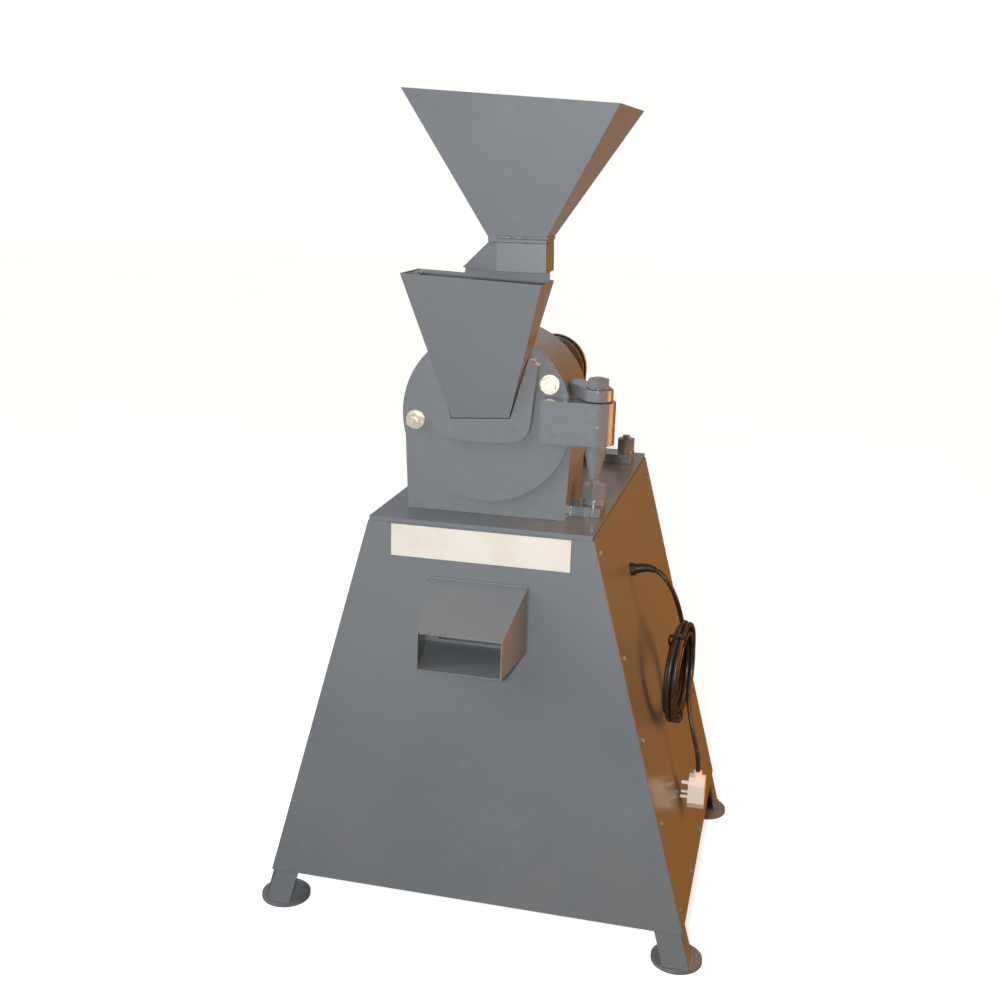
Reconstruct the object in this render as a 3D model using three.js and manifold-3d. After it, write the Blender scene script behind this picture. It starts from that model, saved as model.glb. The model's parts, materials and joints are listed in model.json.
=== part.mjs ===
// Laboratory hammer mill on a splayed sheet-steel stand.
// Millimetres, +Z up. The front of the machine faces -Y and +X is its right-hand side.
// The origin is on the floor, under the middle of the machine's overall box.
import * as THREE from 'three';
import { mergeVertices } from 'three/addons/utils/BufferGeometryUtils.js';
import Module from 'manifold-3d';

const wasm = await Module();
wasm.setup();

// ---------------------------------------------------------------- driving dimensions
const GAP = 0.3; // assembly gap between pieces that touch
const FLOOR = 14; // height of the floor in the frame that the pieces are drawn in

const STAND_TOP = 635; // height of the top plate's upper face
const STAND_DEPTH = 514;
const TOP_WIDTH = 305;
const BOTTOM_WIDTH = 610;
const PANEL_BOTTOM = 74; // height of the panels' lower edge
const SHEET = 2; // sheet-steel gauge of panels, hoppers and ducts
const PLATE = 6; // top plate, motor shelf and foot thickness
const ANGLE = 38; // leg angle-iron flange
const ANGLE_WALL = 4;
const FOOT_RADIUS = 36.5;
const FOOT_Y = 225; // foot centres, in front of and behind the middle of the stand
const SPLAY = (BOTTOM_WIDTH - TOP_WIDTH) / 2 / (STAND_TOP - PANEL_BOTTOM);

const MILL_X = -6; // mill centre line, a little left of the stand's
const AXIS_Z = 772; // rotor shaft height
const BODY_RADIUS = 116; // rounded top of the mill housing, and the door
const BASE_HALF = 110; // half width of the housing where it stands
const DOOR_FRONT = -209;
const DOOR_BACK = -200;
const HOUSING_FRONT = DOOR_BACK + GAP;
const HOUSING_BACK = -84;
const WALL = 9; // housing rear wall
const CHAMBER_RADIUS = 86;
const FOOT_TOP = 649; // upper face of the cast feet
const FRONT_BOLT_Y = -145;
const REAR_BOLT_Y = 192;

const SHAFT_RADIUS = 17.5;
const HAMMER_PIN_CIRCLE = 50;
const HAMMER_PIN_RADIUS = 4;
const HAMMER_REACH = 28;
const DISC_RADIUS = 62;
const FRONT_DISC_Y = -186;
const REAR_DISC_Y = -110;
const DISC_THICKNESS = 5;

const PULLEY_Y = 231; // belt plane
const PULLEY_WIDTH = 34;
const MILL_PULLEY_RADIUS = 56;
const MOTOR_PULLEY_RADIUS = 66;
const SHELF_TOP = 262;
const MOTOR_Z = SHELF_TOP + 90 + GAP;
const MOTOR_SHAFT_RADIUS = 12;

const HINGE_X = 144;
const HINGE_Y = -216;
const LUG_BOTTOM = 749;
const LUG_TOP = 805;
const BRACKET_TOP = 822;
const CLOSING_CIRCLE = 98;
const CLOSING_ANGLES = { right: THREE.MathUtils.degToRad(30), left: THREE.MathUtils.degToRad(186) };

const TRAY_TOP = 959.2;
const TRAY_BOTTOM = 773.2;
const TRAY_TOP_TILT = -0.036; // rise per millimetre to the right: the hand-made tray is not quite square
const TRAY_BOTTOM_TILT = 0.07;
const THROAT_X = -10.5;
const NECK_Z = 1010; // where the upper hopper's funnel meets its collar
const HOPPER_TOP = 1176; // the rim stands higher on its left side
const HOPPER_TILT = -0.052;
const CHUTE_TOP = 1003.7;
const CHUTE_BOTTOM = 968;

const SPOUT_REACH = 88; // how far the discharge spout stands out of the front panel
const CORD_DIAMETER = 7;
const EXIT_Y = -60;
const EXIT_Z = 532;
const COIL = { x: 261, y: -75, z: 389, inner: 53, outer: 76.5, width: 27, turn: THREE.MathUtils.degToRad(-5) };

const FRONT = -STAND_DEPTH / 2;
const REAR = STAND_DEPTH / 2;
// Hold-down bolts; the front left one comes up from below, into the housing's wall.
const BOLTS = {
  front_left: { x: MILL_X - 98, y: FRONT_BOLT_Y, spacer: 0, nut: 0 },
  front_right: { x: MILL_X + 140, y: FRONT_BOLT_Y, spacer: 8, nut: 17 },
  rear_left: { x: MILL_X - 135, y: REAR_BOLT_Y, spacer: 4, nut: 14.5 },
  rear_right: { x: MILL_X + 135, y: REAR_BOLT_Y, spacer: 4, nut: 14.5 },
};
const halfWidthAt = (z) => TOP_WIDTH / 2 + (STAND_TOP - z) * SPLAY;

// ---------------------------------------------------------------- finishes
const finish = (color, roughness, metalness) => () =>
  new THREE.MeshStandardMaterial({ color, roughness, metalness });
const greyEnamel = finish(0x74797b, 0.35, 0);
const castGrey = finish(0x83878a, 0.4, 0);
const brightSteel = finish(0xb4b4b2, 0.35, 1);
const darkSteel = finish(0x6d6c6a, 0.5, 1);
const yellowZinc = finish(0xd9c48e, 0.35, 1);
const motorPaint = finish(0x4d5f6b, 0.45, 0);
const beltRubber = finish(0x222222, 0.8, 0);
const cordPlastic = finish(0x3a3330, 0.55, 0);
const plugPlastic = finish(0xf0ede6, 0.4, 0);
const creamPlate = finish(0xe9e3cf, 0.5, 0);

// ---------------------------------------------------------------- geometry helpers
// Keeps positions only, welds them, drops slivers and turns the faces outwards.
function clean(geometry) {
  const bare = new THREE.BufferGeometry();
  bare.setAttribute('position', geometry.getAttribute('position').clone());
  if (geometry.index) bare.setIndex(geometry.index.clone());
  const welded = mergeVertices(bare, 1e-4);
  const p = welded.getAttribute('position');
  const index = welded.index.array;
  const kept = [];
  let volume = 0;
  const [a, b, c] = [new THREE.Vector3(), new THREE.Vector3(), new THREE.Vector3()];
  for (let i = 0; i < index.length; i += 3) {
    const [i0, i1, i2] = [index[i], index[i + 1], index[i + 2]];
    if (i0 === i1 || i1 === i2 || i2 === i0) continue;
    a.fromBufferAttribute(p, i0);
    b.fromBufferAttribute(p, i1);
    c.fromBufferAttribute(p, i2);
    volume += a.dot(b.clone().cross(c));
    kept.push(i0, i1, i2);
  }
  if (volume < 0) {
    for (let i = 0; i < kept.length; i += 3) [kept[i + 1], kept[i + 2]] = [kept[i + 2], kept[i + 1]];
  }
  welded.setIndex(kept);
  return welded;
}

function toSolid(geometry) {
  const g = clean(geometry);
  return new wasm.Manifold(
    new wasm.Mesh({
      numProp: 3,
      vertProperties: new Float32Array(g.getAttribute('position').array),
      triVerts: new Uint32Array(g.index.array),
    })
  );
}

function fromSolid(solid) {
  const mesh = solid.getMesh();
  const geometry = new THREE.BufferGeometry();
  geometry.setAttribute('position', new THREE.BufferAttribute(new Float32Array(mesh.vertProperties), 3));
  geometry.setIndex(new THREE.BufferAttribute(new Uint32Array(mesh.triVerts), 1));
  return geometry;
}

const join = (...parts) => fromSolid(parts.map(toSolid).reduce((a, b) => a.add(b)));
const cut = (body, ...tools) => fromSolid(tools.map(toSolid).reduce((a, b) => a.subtract(b), toSolid(body)));
const common = (a, b) => fromSolid(toSolid(a).intersect(toSolid(b)));

// A block between two opposite corners.
function block(x0, x1, y0, y1, z0, z1) {
  const g = new THREE.BoxGeometry(x1 - x0, y1 - y0, z1 - z0);
  return g.translate((x0 + x1) / 2, (y0 + y1) / 2, (z0 + z1) / 2);
}

// A round bar along Y, or along Z, between two ends; six sides make a hexagon.
function barY(r, y0, y1, x = MILL_X, z = AXIS_Z, sides = 32) {
  return new THREE.CylinderGeometry(r, r, y1 - y0, sides).translate(x, (y0 + y1) / 2, z);
}
function barZ(r, z0, z1, x, y, sides = 24) {
  return new THREE.CylinderGeometry(r, r, z1 - z0, sides).rotateX(Math.PI / 2).translate(x, y, (z0 + z1) / 2);
}

// A turned piece about a line along Y through (x, z); the profile is a list of [radius, y].
function turnedY(profile, x = MILL_X, z = AXIS_Z, sides = 24) {
  const points = profile.map(([r, y]) => new THREE.Vector2(r, y));
  return new THREE.LatheGeometry(points, sides).translate(x, 0, z);
}
function turnedZ(profile, x, y, sides = 24) {
  const points = profile.map(([r, z]) => new THREE.Vector2(r, z));
  return new THREE.LatheGeometry(points, sides).rotateX(Math.PI / 2).translate(x, y, 0);
}

const flat = { bevelEnabled: false };
// Outlines drawn in (x, z), (x, y) or (y, z) and given a thickness along the third axis.
function extrudeY(shape, y0, y1, curveSegments = 12) {
  const g = new THREE.ExtrudeGeometry(shape, { ...flat, depth: y1 - y0, curveSegments });
  return g.rotateX(Math.PI / 2).translate(0, y1, 0);
}
function extrudeZ(shape, z0, z1, curveSegments = 12) {
  return new THREE.ExtrudeGeometry(shape, { ...flat, depth: z1 - z0, curveSegments }).translate(0, 0, z0);
}
function extrudeX(shape, x0, x1, curveSegments = 12) {
  const g = new THREE.ExtrudeGeometry(shape, { ...flat, depth: x1 - x0, curveSegments });
  const turn = new THREE.Matrix4().makeBasis(
    new THREE.Vector3(0, 1, 0), new THREE.Vector3(0, 0, 1), new THREE.Vector3(1, 0, 0)
  );
  return g.applyMatrix4(turn).translate(x0, 0, 0);
}

const polygon = (points) => new THREE.Shape(points.map(([u, v]) => new THREE.Vector2(u, v)));
const rectangle = (u0, u1, v0, v1) => polygon([[u0, v0], [u1, v0], [u1, v1], [u0, v1]]);
const roundHole = (u, v, r) => new THREE.Path().absarc(u, v, r, 0, Math.PI * 2, true);
const squareHole = (u0, u1, v0, v1) =>
  new THREE.Path([[u0, v0], [u0, v1], [u1, v1], [u1, v0]].map(([u, v]) => new THREE.Vector2(u, v)));

// Leans a stand piece outwards as it goes down, by the stand's splay, to side +1 or -1.
function splay(geometry, side) {
  const lean = new THREE.Matrix4().set(
    1, 0, -SPLAY * side, SPLAY * side * STAND_TOP,
    0, 1, 0, 0,
    0, 0, 1, 0,
    0, 0, 0, 1
  );
  return geometry.applyMatrix4(lean);
}

// Moves each side of a convex outline inwards by t; points run anticlockwise.
function inset(points, t) {
  const n = points.length;
  const lines = points.map(([u, v], i) => {
    const [u2, v2] = points[(i + 1) % n];
    const length = Math.hypot(u2 - u, v2 - v);
    const normal = [-(v2 - v) / length, (u2 - u) / length];
    return { normal, offset: normal[0] * u + normal[1] * v + t };
  });
  return points.map((_, i) => {
    const [p, q] = [lines[(i + n - 1) % n], lines[i]];
    const det = p.normal[0] * q.normal[1] - p.normal[1] * q.normal[0];
    return [
      (p.offset * q.normal[1] - q.offset * p.normal[1]) / det,
      (p.normal[0] * q.offset - q.normal[0] * p.offset) / det,
    ];
  });
}

const flatRing = (z) => ([u, v]) => [u, v, z];
const uprightRing = (y) => ([u, v]) => [u, y, v];

function meshFrom(points, faces) {
  const g = new THREE.BufferGeometry();
  g.setAttribute('position', new THREE.Float32BufferAttribute(points.flat(), 3));
  g.setIndex(faces.flat());
  return g;
}

function band(faces, a, b, n) {
  for (let i = 0; i < n; i += 1) {
    const j = (i + 1) % n;
    faces.push([a + i, a + j, b + j], [a + i, b + j, b + i]);
  }
}

// A solid through a row of outlines, with flat ends.
function loft(rings) {
  const n = rings[0].length;
  const faces = [];
  for (let k = 0; k + 1 < rings.length; k += 1) band(faces, k * n, (k + 1) * n, n);
  const last = (rings.length - 1) * n;
  for (let i = 1; i + 1 < n; i += 1) {
    faces.push([0, i + 1, i], [last, last + i, last + i + 1]);
  }
  return meshFrom(rings.flat(), faces);
}

// A sheet-metal duct through a row of outlines, open at both ends.
function duct(sections, thickness = SHEET) {
  const n = sections[0].outline.length;
  const outer = sections.map(({ outline, place }) => outline.map(place));
  const inner = sections.map(({ outline, place }) => inset(outline, thickness).map(place));
  const base = sections.length * n;
  const last = (sections.length - 1) * n;
  const faces = [];
  for (let k = 0; k + 1 < sections.length; k += 1) {
    band(faces, k * n, (k + 1) * n, n);
    band(faces, base + (k + 1) * n, base + k * n, n);
  }
  band(faces, base, 0, n);
  band(faces, last, base + last, n);
  return meshFrom([...outer.flat(), ...inner.flat()], faces);
}

const box2 = (u0, u1, v0, v1) => [[u0, v0], [u1, v0], [u1, v1], [u0, v1]];

// ---------------------------------------------------------------- the assembly
const machine = new THREE.Group();
machine.position.set(0, (STAND_DEPTH / 2 + SPOUT_REACH - FOOT_Y - FOOT_RADIUS) / 2, -FLOOR);

function add(name, geometry, material) {
  const mesh = new THREE.Mesh(clean(geometry), material());
  mesh.name = name;
  machine.add(mesh);
}

// ---------------------------------------------------------------- stand
const DISCHARGE = { x0: MILL_X - 55, x1: MILL_X + 55, y0: -185, y1: -105 };
const PANEL_TOP = STAND_TOP - PLATE - GAP;
const OUTLET = { half: 52, bottom: 470, top: 548 };

function topPlate() {
  const shape = rectangle(-TOP_WIDTH / 2, TOP_WIDTH / 2, FRONT, REAR);
  shape.holes.push(squareHole(DISCHARGE.x0, DISCHARGE.x1, DISCHARGE.y0, DISCHARGE.y1));
  shape.holes.push(squareHole(MILL_X - 74, MILL_X + 74, PULLEY_Y - 17, PULLEY_Y + 17));
  for (const { x, y } of Object.values(BOLTS)) shape.holes.push(roundHole(x, y, 7));
  return extrudeZ(shape, STAND_TOP - PLATE, STAND_TOP, 8);
}

function endPanelOutline() {
  const [low, high] = [halfWidthAt(PANEL_BOTTOM), halfWidthAt(PANEL_TOP)];
  return polygon([[-low, PANEL_BOTTOM], [low, PANEL_BOTTOM], [high, PANEL_TOP], [-high, PANEL_TOP]]);
}

function frontPanel() {
  const shape = endPanelOutline();
  shape.holes.push(squareHole(-OUTLET.half, OUTLET.half, OUTLET.bottom, OUTLET.top));
  return extrudeY(shape, FRONT, FRONT + SHEET);
}

function sidePanel(side) {
  const inside = STAND_DEPTH / 2 - SHEET - GAP;
  const shape = rectangle(-inside, inside, PANEL_BOTTOM, PANEL_TOP);
  if (side > 0) shape.holes.push(roundHole(EXIT_Y, EXIT_Z, 9));
  const outer = (side * TOP_WIDTH) / 2;
  const inner = outer - side * SHEET;
  return splay(extrudeX(shape, Math.min(outer, inner), Math.max(outer, inner), 8), side);
}

// Angle-iron leg with its foot disc welded on.
function leg(side, end) {
  const x0 = side * (TOP_WIDTH / 2 - SHEET - 2 * GAP);
  const y0 = end * (STAND_DEPTH / 2 - SHEET - GAP);
  const corner = [
    [0, 0], [ANGLE, 0], [ANGLE, ANGLE_WALL], [ANGLE_WALL, ANGLE_WALL], [ANGLE_WALL, ANGLE], [0, ANGLE],
  ];
  const section = polygon(corner.map(([u, v]) => [x0 - side * u, y0 - end * v]));
  const bar = splay(extrudeZ(section, FLOOR + PLATE / 2, PANEL_TOP), side);
  const footX = side * (halfWidthAt(FLOOR) - SHEET - 2 * GAP - FOOT_RADIUS * 0.62);
  return join(bar, barZ(FOOT_RADIUS, FLOOR, FLOOR + PLATE, footX, end * FOOT_Y, 28));
}

function motorShelf() {
  const halfX = halfWidthAt(SHELF_TOP) - 11;
  const halfY = STAND_DEPTH / 2 - SHEET - ANGLE_WALL - 2 * GAP;
  return block(-halfX, halfX, -halfY, halfY, SHELF_TOP - PLATE, SHELF_TOP);
}

add('top_plate', topPlate(), greyEnamel);
add('front_panel', frontPanel(), greyEnamel);
add('rear_panel', extrudeY(endPanelOutline(), REAR - SHEET, REAR), greyEnamel);
add('left_panel', sidePanel(-1), greyEnamel);
add('right_panel', sidePanel(1), greyEnamel);
for (const [sideName, side] of [['left', -1], ['right', 1]]) {
  add(`leg_front_${sideName}`, leg(side, -1), greyEnamel);
  add(`leg_rear_${sideName}`, leg(side, 1), greyEnamel);
}
add('motor_shelf', motorShelf(), greyEnamel);
add(
  'label_plate',
  block(-121, 125, FRONT - GAP - 1, FRONT - GAP, 583, 627),
  creamPlate
);

// ---------------------------------------------------------------- discharge
function dischargeDuct() {
  const top = box2(DISCHARGE.x0 - 7, DISCHARGE.x1 + 7, DISCHARGE.y0 - 5, DISCHARGE.y1 + 5);
  const mouthY = FRONT + SHEET + GAP;
  // The upright outline lists its top edge first, so that it meets the front edge of the top one.
  const mouth = [[-50, OUTLET.top], [50, OUTLET.top], [50, OUTLET.bottom], [-50, OUTLET.bottom]];
  const inner = [[-48, OUTLET.top - 2], [48, OUTLET.top - 2], [48, OUTLET.bottom + 2], [-48, OUTLET.bottom + 2]];
  const rings = [top.map(flatRing(PANEL_TOP)), mouth.map(uprightRing(mouthY))];
  const hollow = [inset(top, SHEET).map(flatRing(PANEL_TOP)), inner.map(uprightRing(mouthY))];
  const faces = [];
  band(faces, 0, 4, 4);
  band(faces, 12, 8, 4);
  band(faces, 8, 0, 4);
  band(faces, 4, 12, 4);
  return meshFrom([...rings.flat(), ...hollow.flat()], faces);
}

function dischargeSpout() {
  return duct([
    { outline: box2(-72, 70, 464, 557), place: uprightRing(FRONT - GAP) },
    { outline: box2(-57, 57, 457, 510), place: uprightRing(FRONT - SPOUT_REACH) },
  ]);
}

add('discharge_duct', dischargeDuct(), greyEnamel);
add('discharge_spout', dischargeSpout(), greyEnamel);

// ---------------------------------------------------------------- mill housing
const closingCentre = (angle) => [
  MILL_X + CLOSING_CIRCLE * Math.cos(angle),
  AXIS_Z + CLOSING_CIRCLE * Math.sin(angle),
];

function millHousing() {
  const outline = new THREE.Shape();
  outline.moveTo(MILL_X - BASE_HALF, STAND_TOP + GAP);
  outline.lineTo(MILL_X + BASE_HALF, STAND_TOP + GAP);
  outline.absarc(MILL_X, AXIS_Z, BODY_RADIUS, 0, Math.PI, false);
  outline.closePath();
  const body = extrudeY(outline, HOUSING_FRONT, HOUSING_BACK, 28);
  const feet = block(MILL_X, MILL_X + 153, FRONT_BOLT_Y - 24, FRONT_BOLT_Y + 24, STAND_TOP + GAP, FOOT_TOP);
  const chamber = barY(CHAMBER_RADIUS, HOUSING_FRONT - 5, HOUSING_BACK - WALL, MILL_X, AXIS_Z, 48);
  const outlet = block(DISCHARGE.x0, DISCHARGE.x1, DISCHARGE.y0, DISCHARGE.y1, STAND_TOP - 5, AXIS_Z - 40);
  const shaftHole = barY(SHAFT_RADIUS + 3, HOUSING_BACK - 2 * WALL, HOUSING_BACK + 5);
  const bolts = [
    barZ(7, STAND_TOP - 5, FOOT_TOP + 14, BOLTS.front_left.x, FRONT_BOLT_Y, 16),
    barZ(7, STAND_TOP - 5, FOOT_TOP + 5, BOLTS.front_right.x, FRONT_BOLT_Y, 16),
  ];
  const taps = Object.values(CLOSING_ANGLES).map((angle) => {
    const [x, z] = closingCentre(angle);
    return barY(10, HOUSING_FRONT - 5, HOUSING_FRONT + 14, x, z, 20);
  });
  return cut(join(body, feet), chamber, outlet, shaftHole, ...bolts, ...taps);
}

function screen() {
  const [outer, inner] = [CHAMBER_RADIUS - 0.6, CHAMBER_RADIUS - 2.2];
  const [from, to] = [THREE.MathUtils.degToRad(205), THREE.MathUtils.degToRad(335)];
  const shape = new THREE.Shape();
  shape.absarc(MILL_X, AXIS_Z, outer, from, to, false);
  shape.absarc(MILL_X, AXIS_Z, inner, to, from, true);
  shape.closePath();
  return extrudeY(shape, HOUSING_FRONT + 4, HOUSING_BACK - WALL - 1, 14);
}

const BEARING = { bore: SHAFT_RADIUS + 0.5, outer: 31, width: 16 };

function bearingHousing() {
  const [front, back] = [HOUSING_BACK + GAP, REAR_BOLT_Y - 2];
  const pocket = BEARING.outer + GAP;
  const tube = turnedY([
    [pocket, front], [72, front], [72, front + 12], [46, front + 18], [46, back], [pocket, back],
    [pocket, back - BEARING.width - 2], [22, back - BEARING.width - 2],
    [22, front + BEARING.width + 2], [pocket, front + BEARING.width + 2], [pocket, front],
  ]);
  const web = block(MILL_X - 11, MILL_X + 11, -60, back - 4, STAND_TOP + GAP + 8, AXIS_Z - 40);
  const foot = block(MILL_X - 147, MILL_X + 147, REAR_BOLT_Y - 26, REAR_BOLT_Y + 18, STAND_TOP + GAP, FOOT_TOP);
  const bolts = [BOLTS.rear_left, BOLTS.rear_right].map(({ x, y }) =>
    barZ(7, STAND_TOP - 5, FOOT_TOP + 5, x, y, 16)
  );
  return cut(join(tube, web, foot), ...bolts);
}

function bearing(y) {
  const { bore, outer, width } = BEARING;
  return turnedY([[bore, y], [outer, y], [outer, y + width], [bore, y + width], [bore, y]]);
}

// Hold-down bolt: nut, spacer and stud above the foot, and a head under the top plate.
function holdDownBolt({ x, y, spacer, nut }) {
  const head = barZ(9, STAND_TOP - PLATE - GAP - 10, STAND_TOP - PLATE - GAP, x, y, 6);
  if (nut === 0) return join(head, barZ(6, STAND_TOP - PLATE - 5, FOOT_TOP + 12, x, y, 16));
  const base = FOOT_TOP + spacer;
  return join(
    head,
    barZ(nut - 1.5, FOOT_TOP + GAP, base, x, y, 24),
    barZ(nut, base, base + 19, x, y, 6),
    barZ(6, STAND_TOP - PLATE - 5, base + 24, x, y, 16)
  );
}

add('mill_housing', millHousing(), castGrey);
add('screen', screen(), darkSteel);
add('bearing_housing', bearingHousing(), castGrey);
add('front_bearing', bearing(HOUSING_BACK + GAP + 1), brightSteel);
add('rear_bearing', bearing(REAR_BOLT_Y - 3 - BEARING.width), brightSteel);
for (const [place, bolt] of Object.entries(BOLTS)) add(`hold_down_bolt_${place}`, holdDownBolt(bolt), brightSteel);

// ---------------------------------------------------------------- rotor
const pinAngle = (k) => Math.PI / 4 + (k * Math.PI) / 2;
const pinCentre = (k) => [
  MILL_X + HAMMER_PIN_CIRCLE * Math.cos(pinAngle(k)),
  AXIS_Z + HAMMER_PIN_CIRCLE * Math.sin(pinAngle(k)),
];

function rotorDisc(y) {
  const shape = new THREE.Shape().absarc(MILL_X, AXIS_Z, DISC_RADIUS, 0, Math.PI * 2, false);
  shape.holes.push(roundHole(MILL_X, AXIS_Z, SHAFT_RADIUS + GAP));
  for (let k = 0; k < 4; k += 1) shape.holes.push(roundHole(...pinCentre(k), HAMMER_PIN_RADIUS + GAP));
  return extrudeY(shape, y, y + DISC_THICKNESS, 10);
}

// The shaft carries a hub between the discs and turns down for the pulley.
function rotorShaft() {
  const hub = 20;
  return turnedY([
    [0, FRONT_DISC_Y - 4], [SHAFT_RADIUS, FRONT_DISC_Y - 4],
    [SHAFT_RADIUS, FRONT_DISC_Y + DISC_THICKNESS + GAP], [hub, FRONT_DISC_Y + DISC_THICKNESS + GAP],
    [hub, REAR_DISC_Y - GAP], [SHAFT_RADIUS, REAR_DISC_Y - GAP],
    [SHAFT_RADIUS, PULLEY_Y - PULLEY_WIDTH / 2 - 2], [14, PULLEY_Y - PULLEY_WIDTH / 2 - 2],
    [14, REAR - SHEET - 6], [0, REAR - SHEET - 6],
  ]);
}

// A swinging hammer, hanging straight down from its pin.
function hammer(k, y) {
  const [x, z] = pinCentre(k);
  const half = 7.5;
  const shape = new THREE.Shape();
  shape.moveTo(x - half, z);
  shape.lineTo(x - half, z - HAMMER_REACH);
  shape.lineTo(x + half, z - HAMMER_REACH);
  shape.lineTo(x + half, z);
  shape.absarc(x, z, half, 0, Math.PI, false);
  shape.holes.push(roundHole(x, z, HAMMER_PIN_RADIUS + 0.5));
  return extrudeY(shape, y, y + 6, 7);
}

// V-pulley: rim with one groove, thin web recessed on the front, and a hub.
function pulley(radius, bore, z) {
  const [y0, y1] = [PULLEY_Y - PULLEY_WIDTH / 2, PULLEY_Y + PULLEY_WIDTH / 2];
  const rim = radius - 17;
  return turnedY([
    [bore, y0], [bore + 9, y0], [bore + 12, y0 + 11], [rim, y0 + 11], [rim + 2, y0], [radius, y0],
    [radius, y0 + 5], [radius - 10, y0 + 9], [radius - 10, y1 - 9], [radius, y1 - 5], [radius, y1],
    [rim + 2, y1], [rim, y1 - 7], [bore + 12, y1 - 7], [bore + 9, y1], [bore, y1], [bore, y0],
  ], MILL_X, z, 28);
}

// A V-belt round both pulleys.
function driveBelt() {
  const loop = (extra, path) => {
    const [r1, r2] = [MILL_PULLEY_RADIUS + extra, MOTOR_PULLEY_RADIUS + extra];
    const beta = Math.asin((r2 - r1) / (AXIS_Z - MOTOR_Z));
    path.absarc(MILL_X, AXIS_Z, r1, beta, Math.PI - beta, false);
    path.absarc(MILL_X, MOTOR_Z, r2, Math.PI - beta, Math.PI * 2 + beta, false);
    path.closePath();
    return path;
  };
  const shape = loop(0.5, new THREE.Shape());
  shape.holes.push(loop(-7, new THREE.Path()));
  return extrudeY(shape, PULLEY_Y - 3.6, PULLEY_Y + 3.6, 12);
}

add('rotor_shaft', rotorShaft(), brightSteel);
add('rotor_disc_front', rotorDisc(FRONT_DISC_Y), darkSteel);
add('rotor_disc_rear', rotorDisc(REAR_DISC_Y), darkSteel);
for (let k = 0; k < 4; k += 1) {
  const [x, z] = pinCentre(k);
  const pin = barY(HAMMER_PIN_RADIUS, FRONT_DISC_Y - 2, REAR_DISC_Y + DISC_THICKNESS + 2, x, z, 16);
  add(`hammer_pin_${k + 1}`, pin, brightSteel);
  add(`hammer_${k + 1}_front`, hammer(k, k % 2 ? -170 : -163), darkSteel);
  add(`hammer_${k + 1}_rear`, hammer(k, k % 2 ? -138 : -131), darkSteel);
}
add('mill_pulley', pulley(MILL_PULLEY_RADIUS, 14 + GAP, AXIS_Z), brightSteel);
add('drive_belt', driveBelt(), beltRubber);

// ---------------------------------------------------------------- door and hinge
const trayHalfAt = (z) => 39.5 + (z - TRAY_BOTTOM) * 0.2766;
const trayFrontAt = (z) => -226 - (z - TRAY_BOTTOM) * 0.3245;

// The space that the feed tray fills, grown by a clearance.
function trayWedge(zLow, zHigh, grow, back) {
  const ringAt = (level) => {
    const share = (level - TRAY_BOTTOM) / (TRAY_TOP - TRAY_BOTTOM);
    const tilt = TRAY_BOTTOM_TILT + (TRAY_TOP_TILT - TRAY_BOTTOM_TILT) * share;
    const [left, right] = [-1, 1].map((side) => {
      const z = level + tilt * side * trayHalfAt(level);
      return { x: THROAT_X + side * (trayHalfAt(z) + grow), y: trayFrontAt(z) - grow, z };
    });
    return [
      [left.x, left.y, left.z], [right.x, right.y, right.z], [right.x, back, right.z], [left.x, back, left.z],
    ];
  };
  return loft([ringAt(zLow), ringAt(zHigh)]);
}

// Raised cast surround of the throat, U-shaped, trimmed round at the top.
function throatBoss() {
  const shape = new THREE.Shape();
  shape.moveTo(THROAT_X - 78, 870);
  shape.lineTo(THROAT_X - 68, 768);
  shape.quadraticCurveTo(THROAT_X - 66, 745, THROAT_X - 42, 743);
  shape.quadraticCurveTo(THROAT_X, 738, THROAT_X + 42, 743);
  shape.quadraticCurveTo(THROAT_X + 66, 745, THROAT_X + 68, 768);
  shape.lineTo(THROAT_X + 78, 870);
  shape.closePath();
  const boss = extrudeY(shape, DOOR_FRONT - 16, DOOR_FRONT + 2, 6);
  const trim = barY(103, DOOR_FRONT - 20, DOOR_FRONT + 3, MILL_X, AXIS_Z, 48);
  const seat = trayWedge(TRAY_BOTTOM - 1, 900, 1, DOOR_FRONT);
  return cut(common(boss, trim), seat);
}

function door() {
  const plate = barY(BODY_RADIUS, DOOR_FRONT, DOOR_BACK, MILL_X, AXIS_Z, 64);
  const lug = block(74, HINGE_X, HINGE_Y - 24, DOOR_BACK - 4, LUG_BOTTOM, LUG_TOP);
  const barrel = barZ(24, LUG_BOTTOM, LUG_TOP, HINGE_X, HINGE_Y, 32);
  const bore = barZ(8.6, LUG_BOTTOM - 5, LUG_TOP + 5, HINGE_X, HINGE_Y, 24);
  const throat = block(THROAT_X - 36, THROAT_X + 36, DOOR_FRONT - 3, DOOR_BACK + 5, 778, 846);
  const holes = Object.values(CLOSING_ANGLES).map((angle) => {
    const [x, z] = closingCentre(angle);
    return barY(7.5, DOOR_FRONT - 30, DOOR_BACK + 5, x, z, 20);
  });
  return cut(join(plate, throatBoss(), lug, barrel), bore, throat, ...holes);
}

// Arm that reaches from the housing's flank over the door's barrel.
function hingeBracket() {
  const shape = new THREE.Shape();
  shape.moveTo(80, -150);
  shape.lineTo(90, -168);
  shape.lineTo(98, -180);
  shape.absarc(HINGE_X, HINGE_Y, 20, Math.PI * -0.78, Math.PI * 0.35, false);
  shape.lineTo(110, -150);
  shape.closePath();
  const arm = extrudeZ(shape, LUG_TOP + 0.5, BRACKET_TOP, 20);
  const flank = barY(BODY_RADIUS + GAP, -215, HOUSING_BACK, MILL_X, AXIS_Z, 96);
  const bore = barZ(8.4, LUG_TOP - 5, BRACKET_TOP + 5, HINGE_X, HINGE_Y, 24);
  return cut(arm, flank, bore);
}

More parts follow.
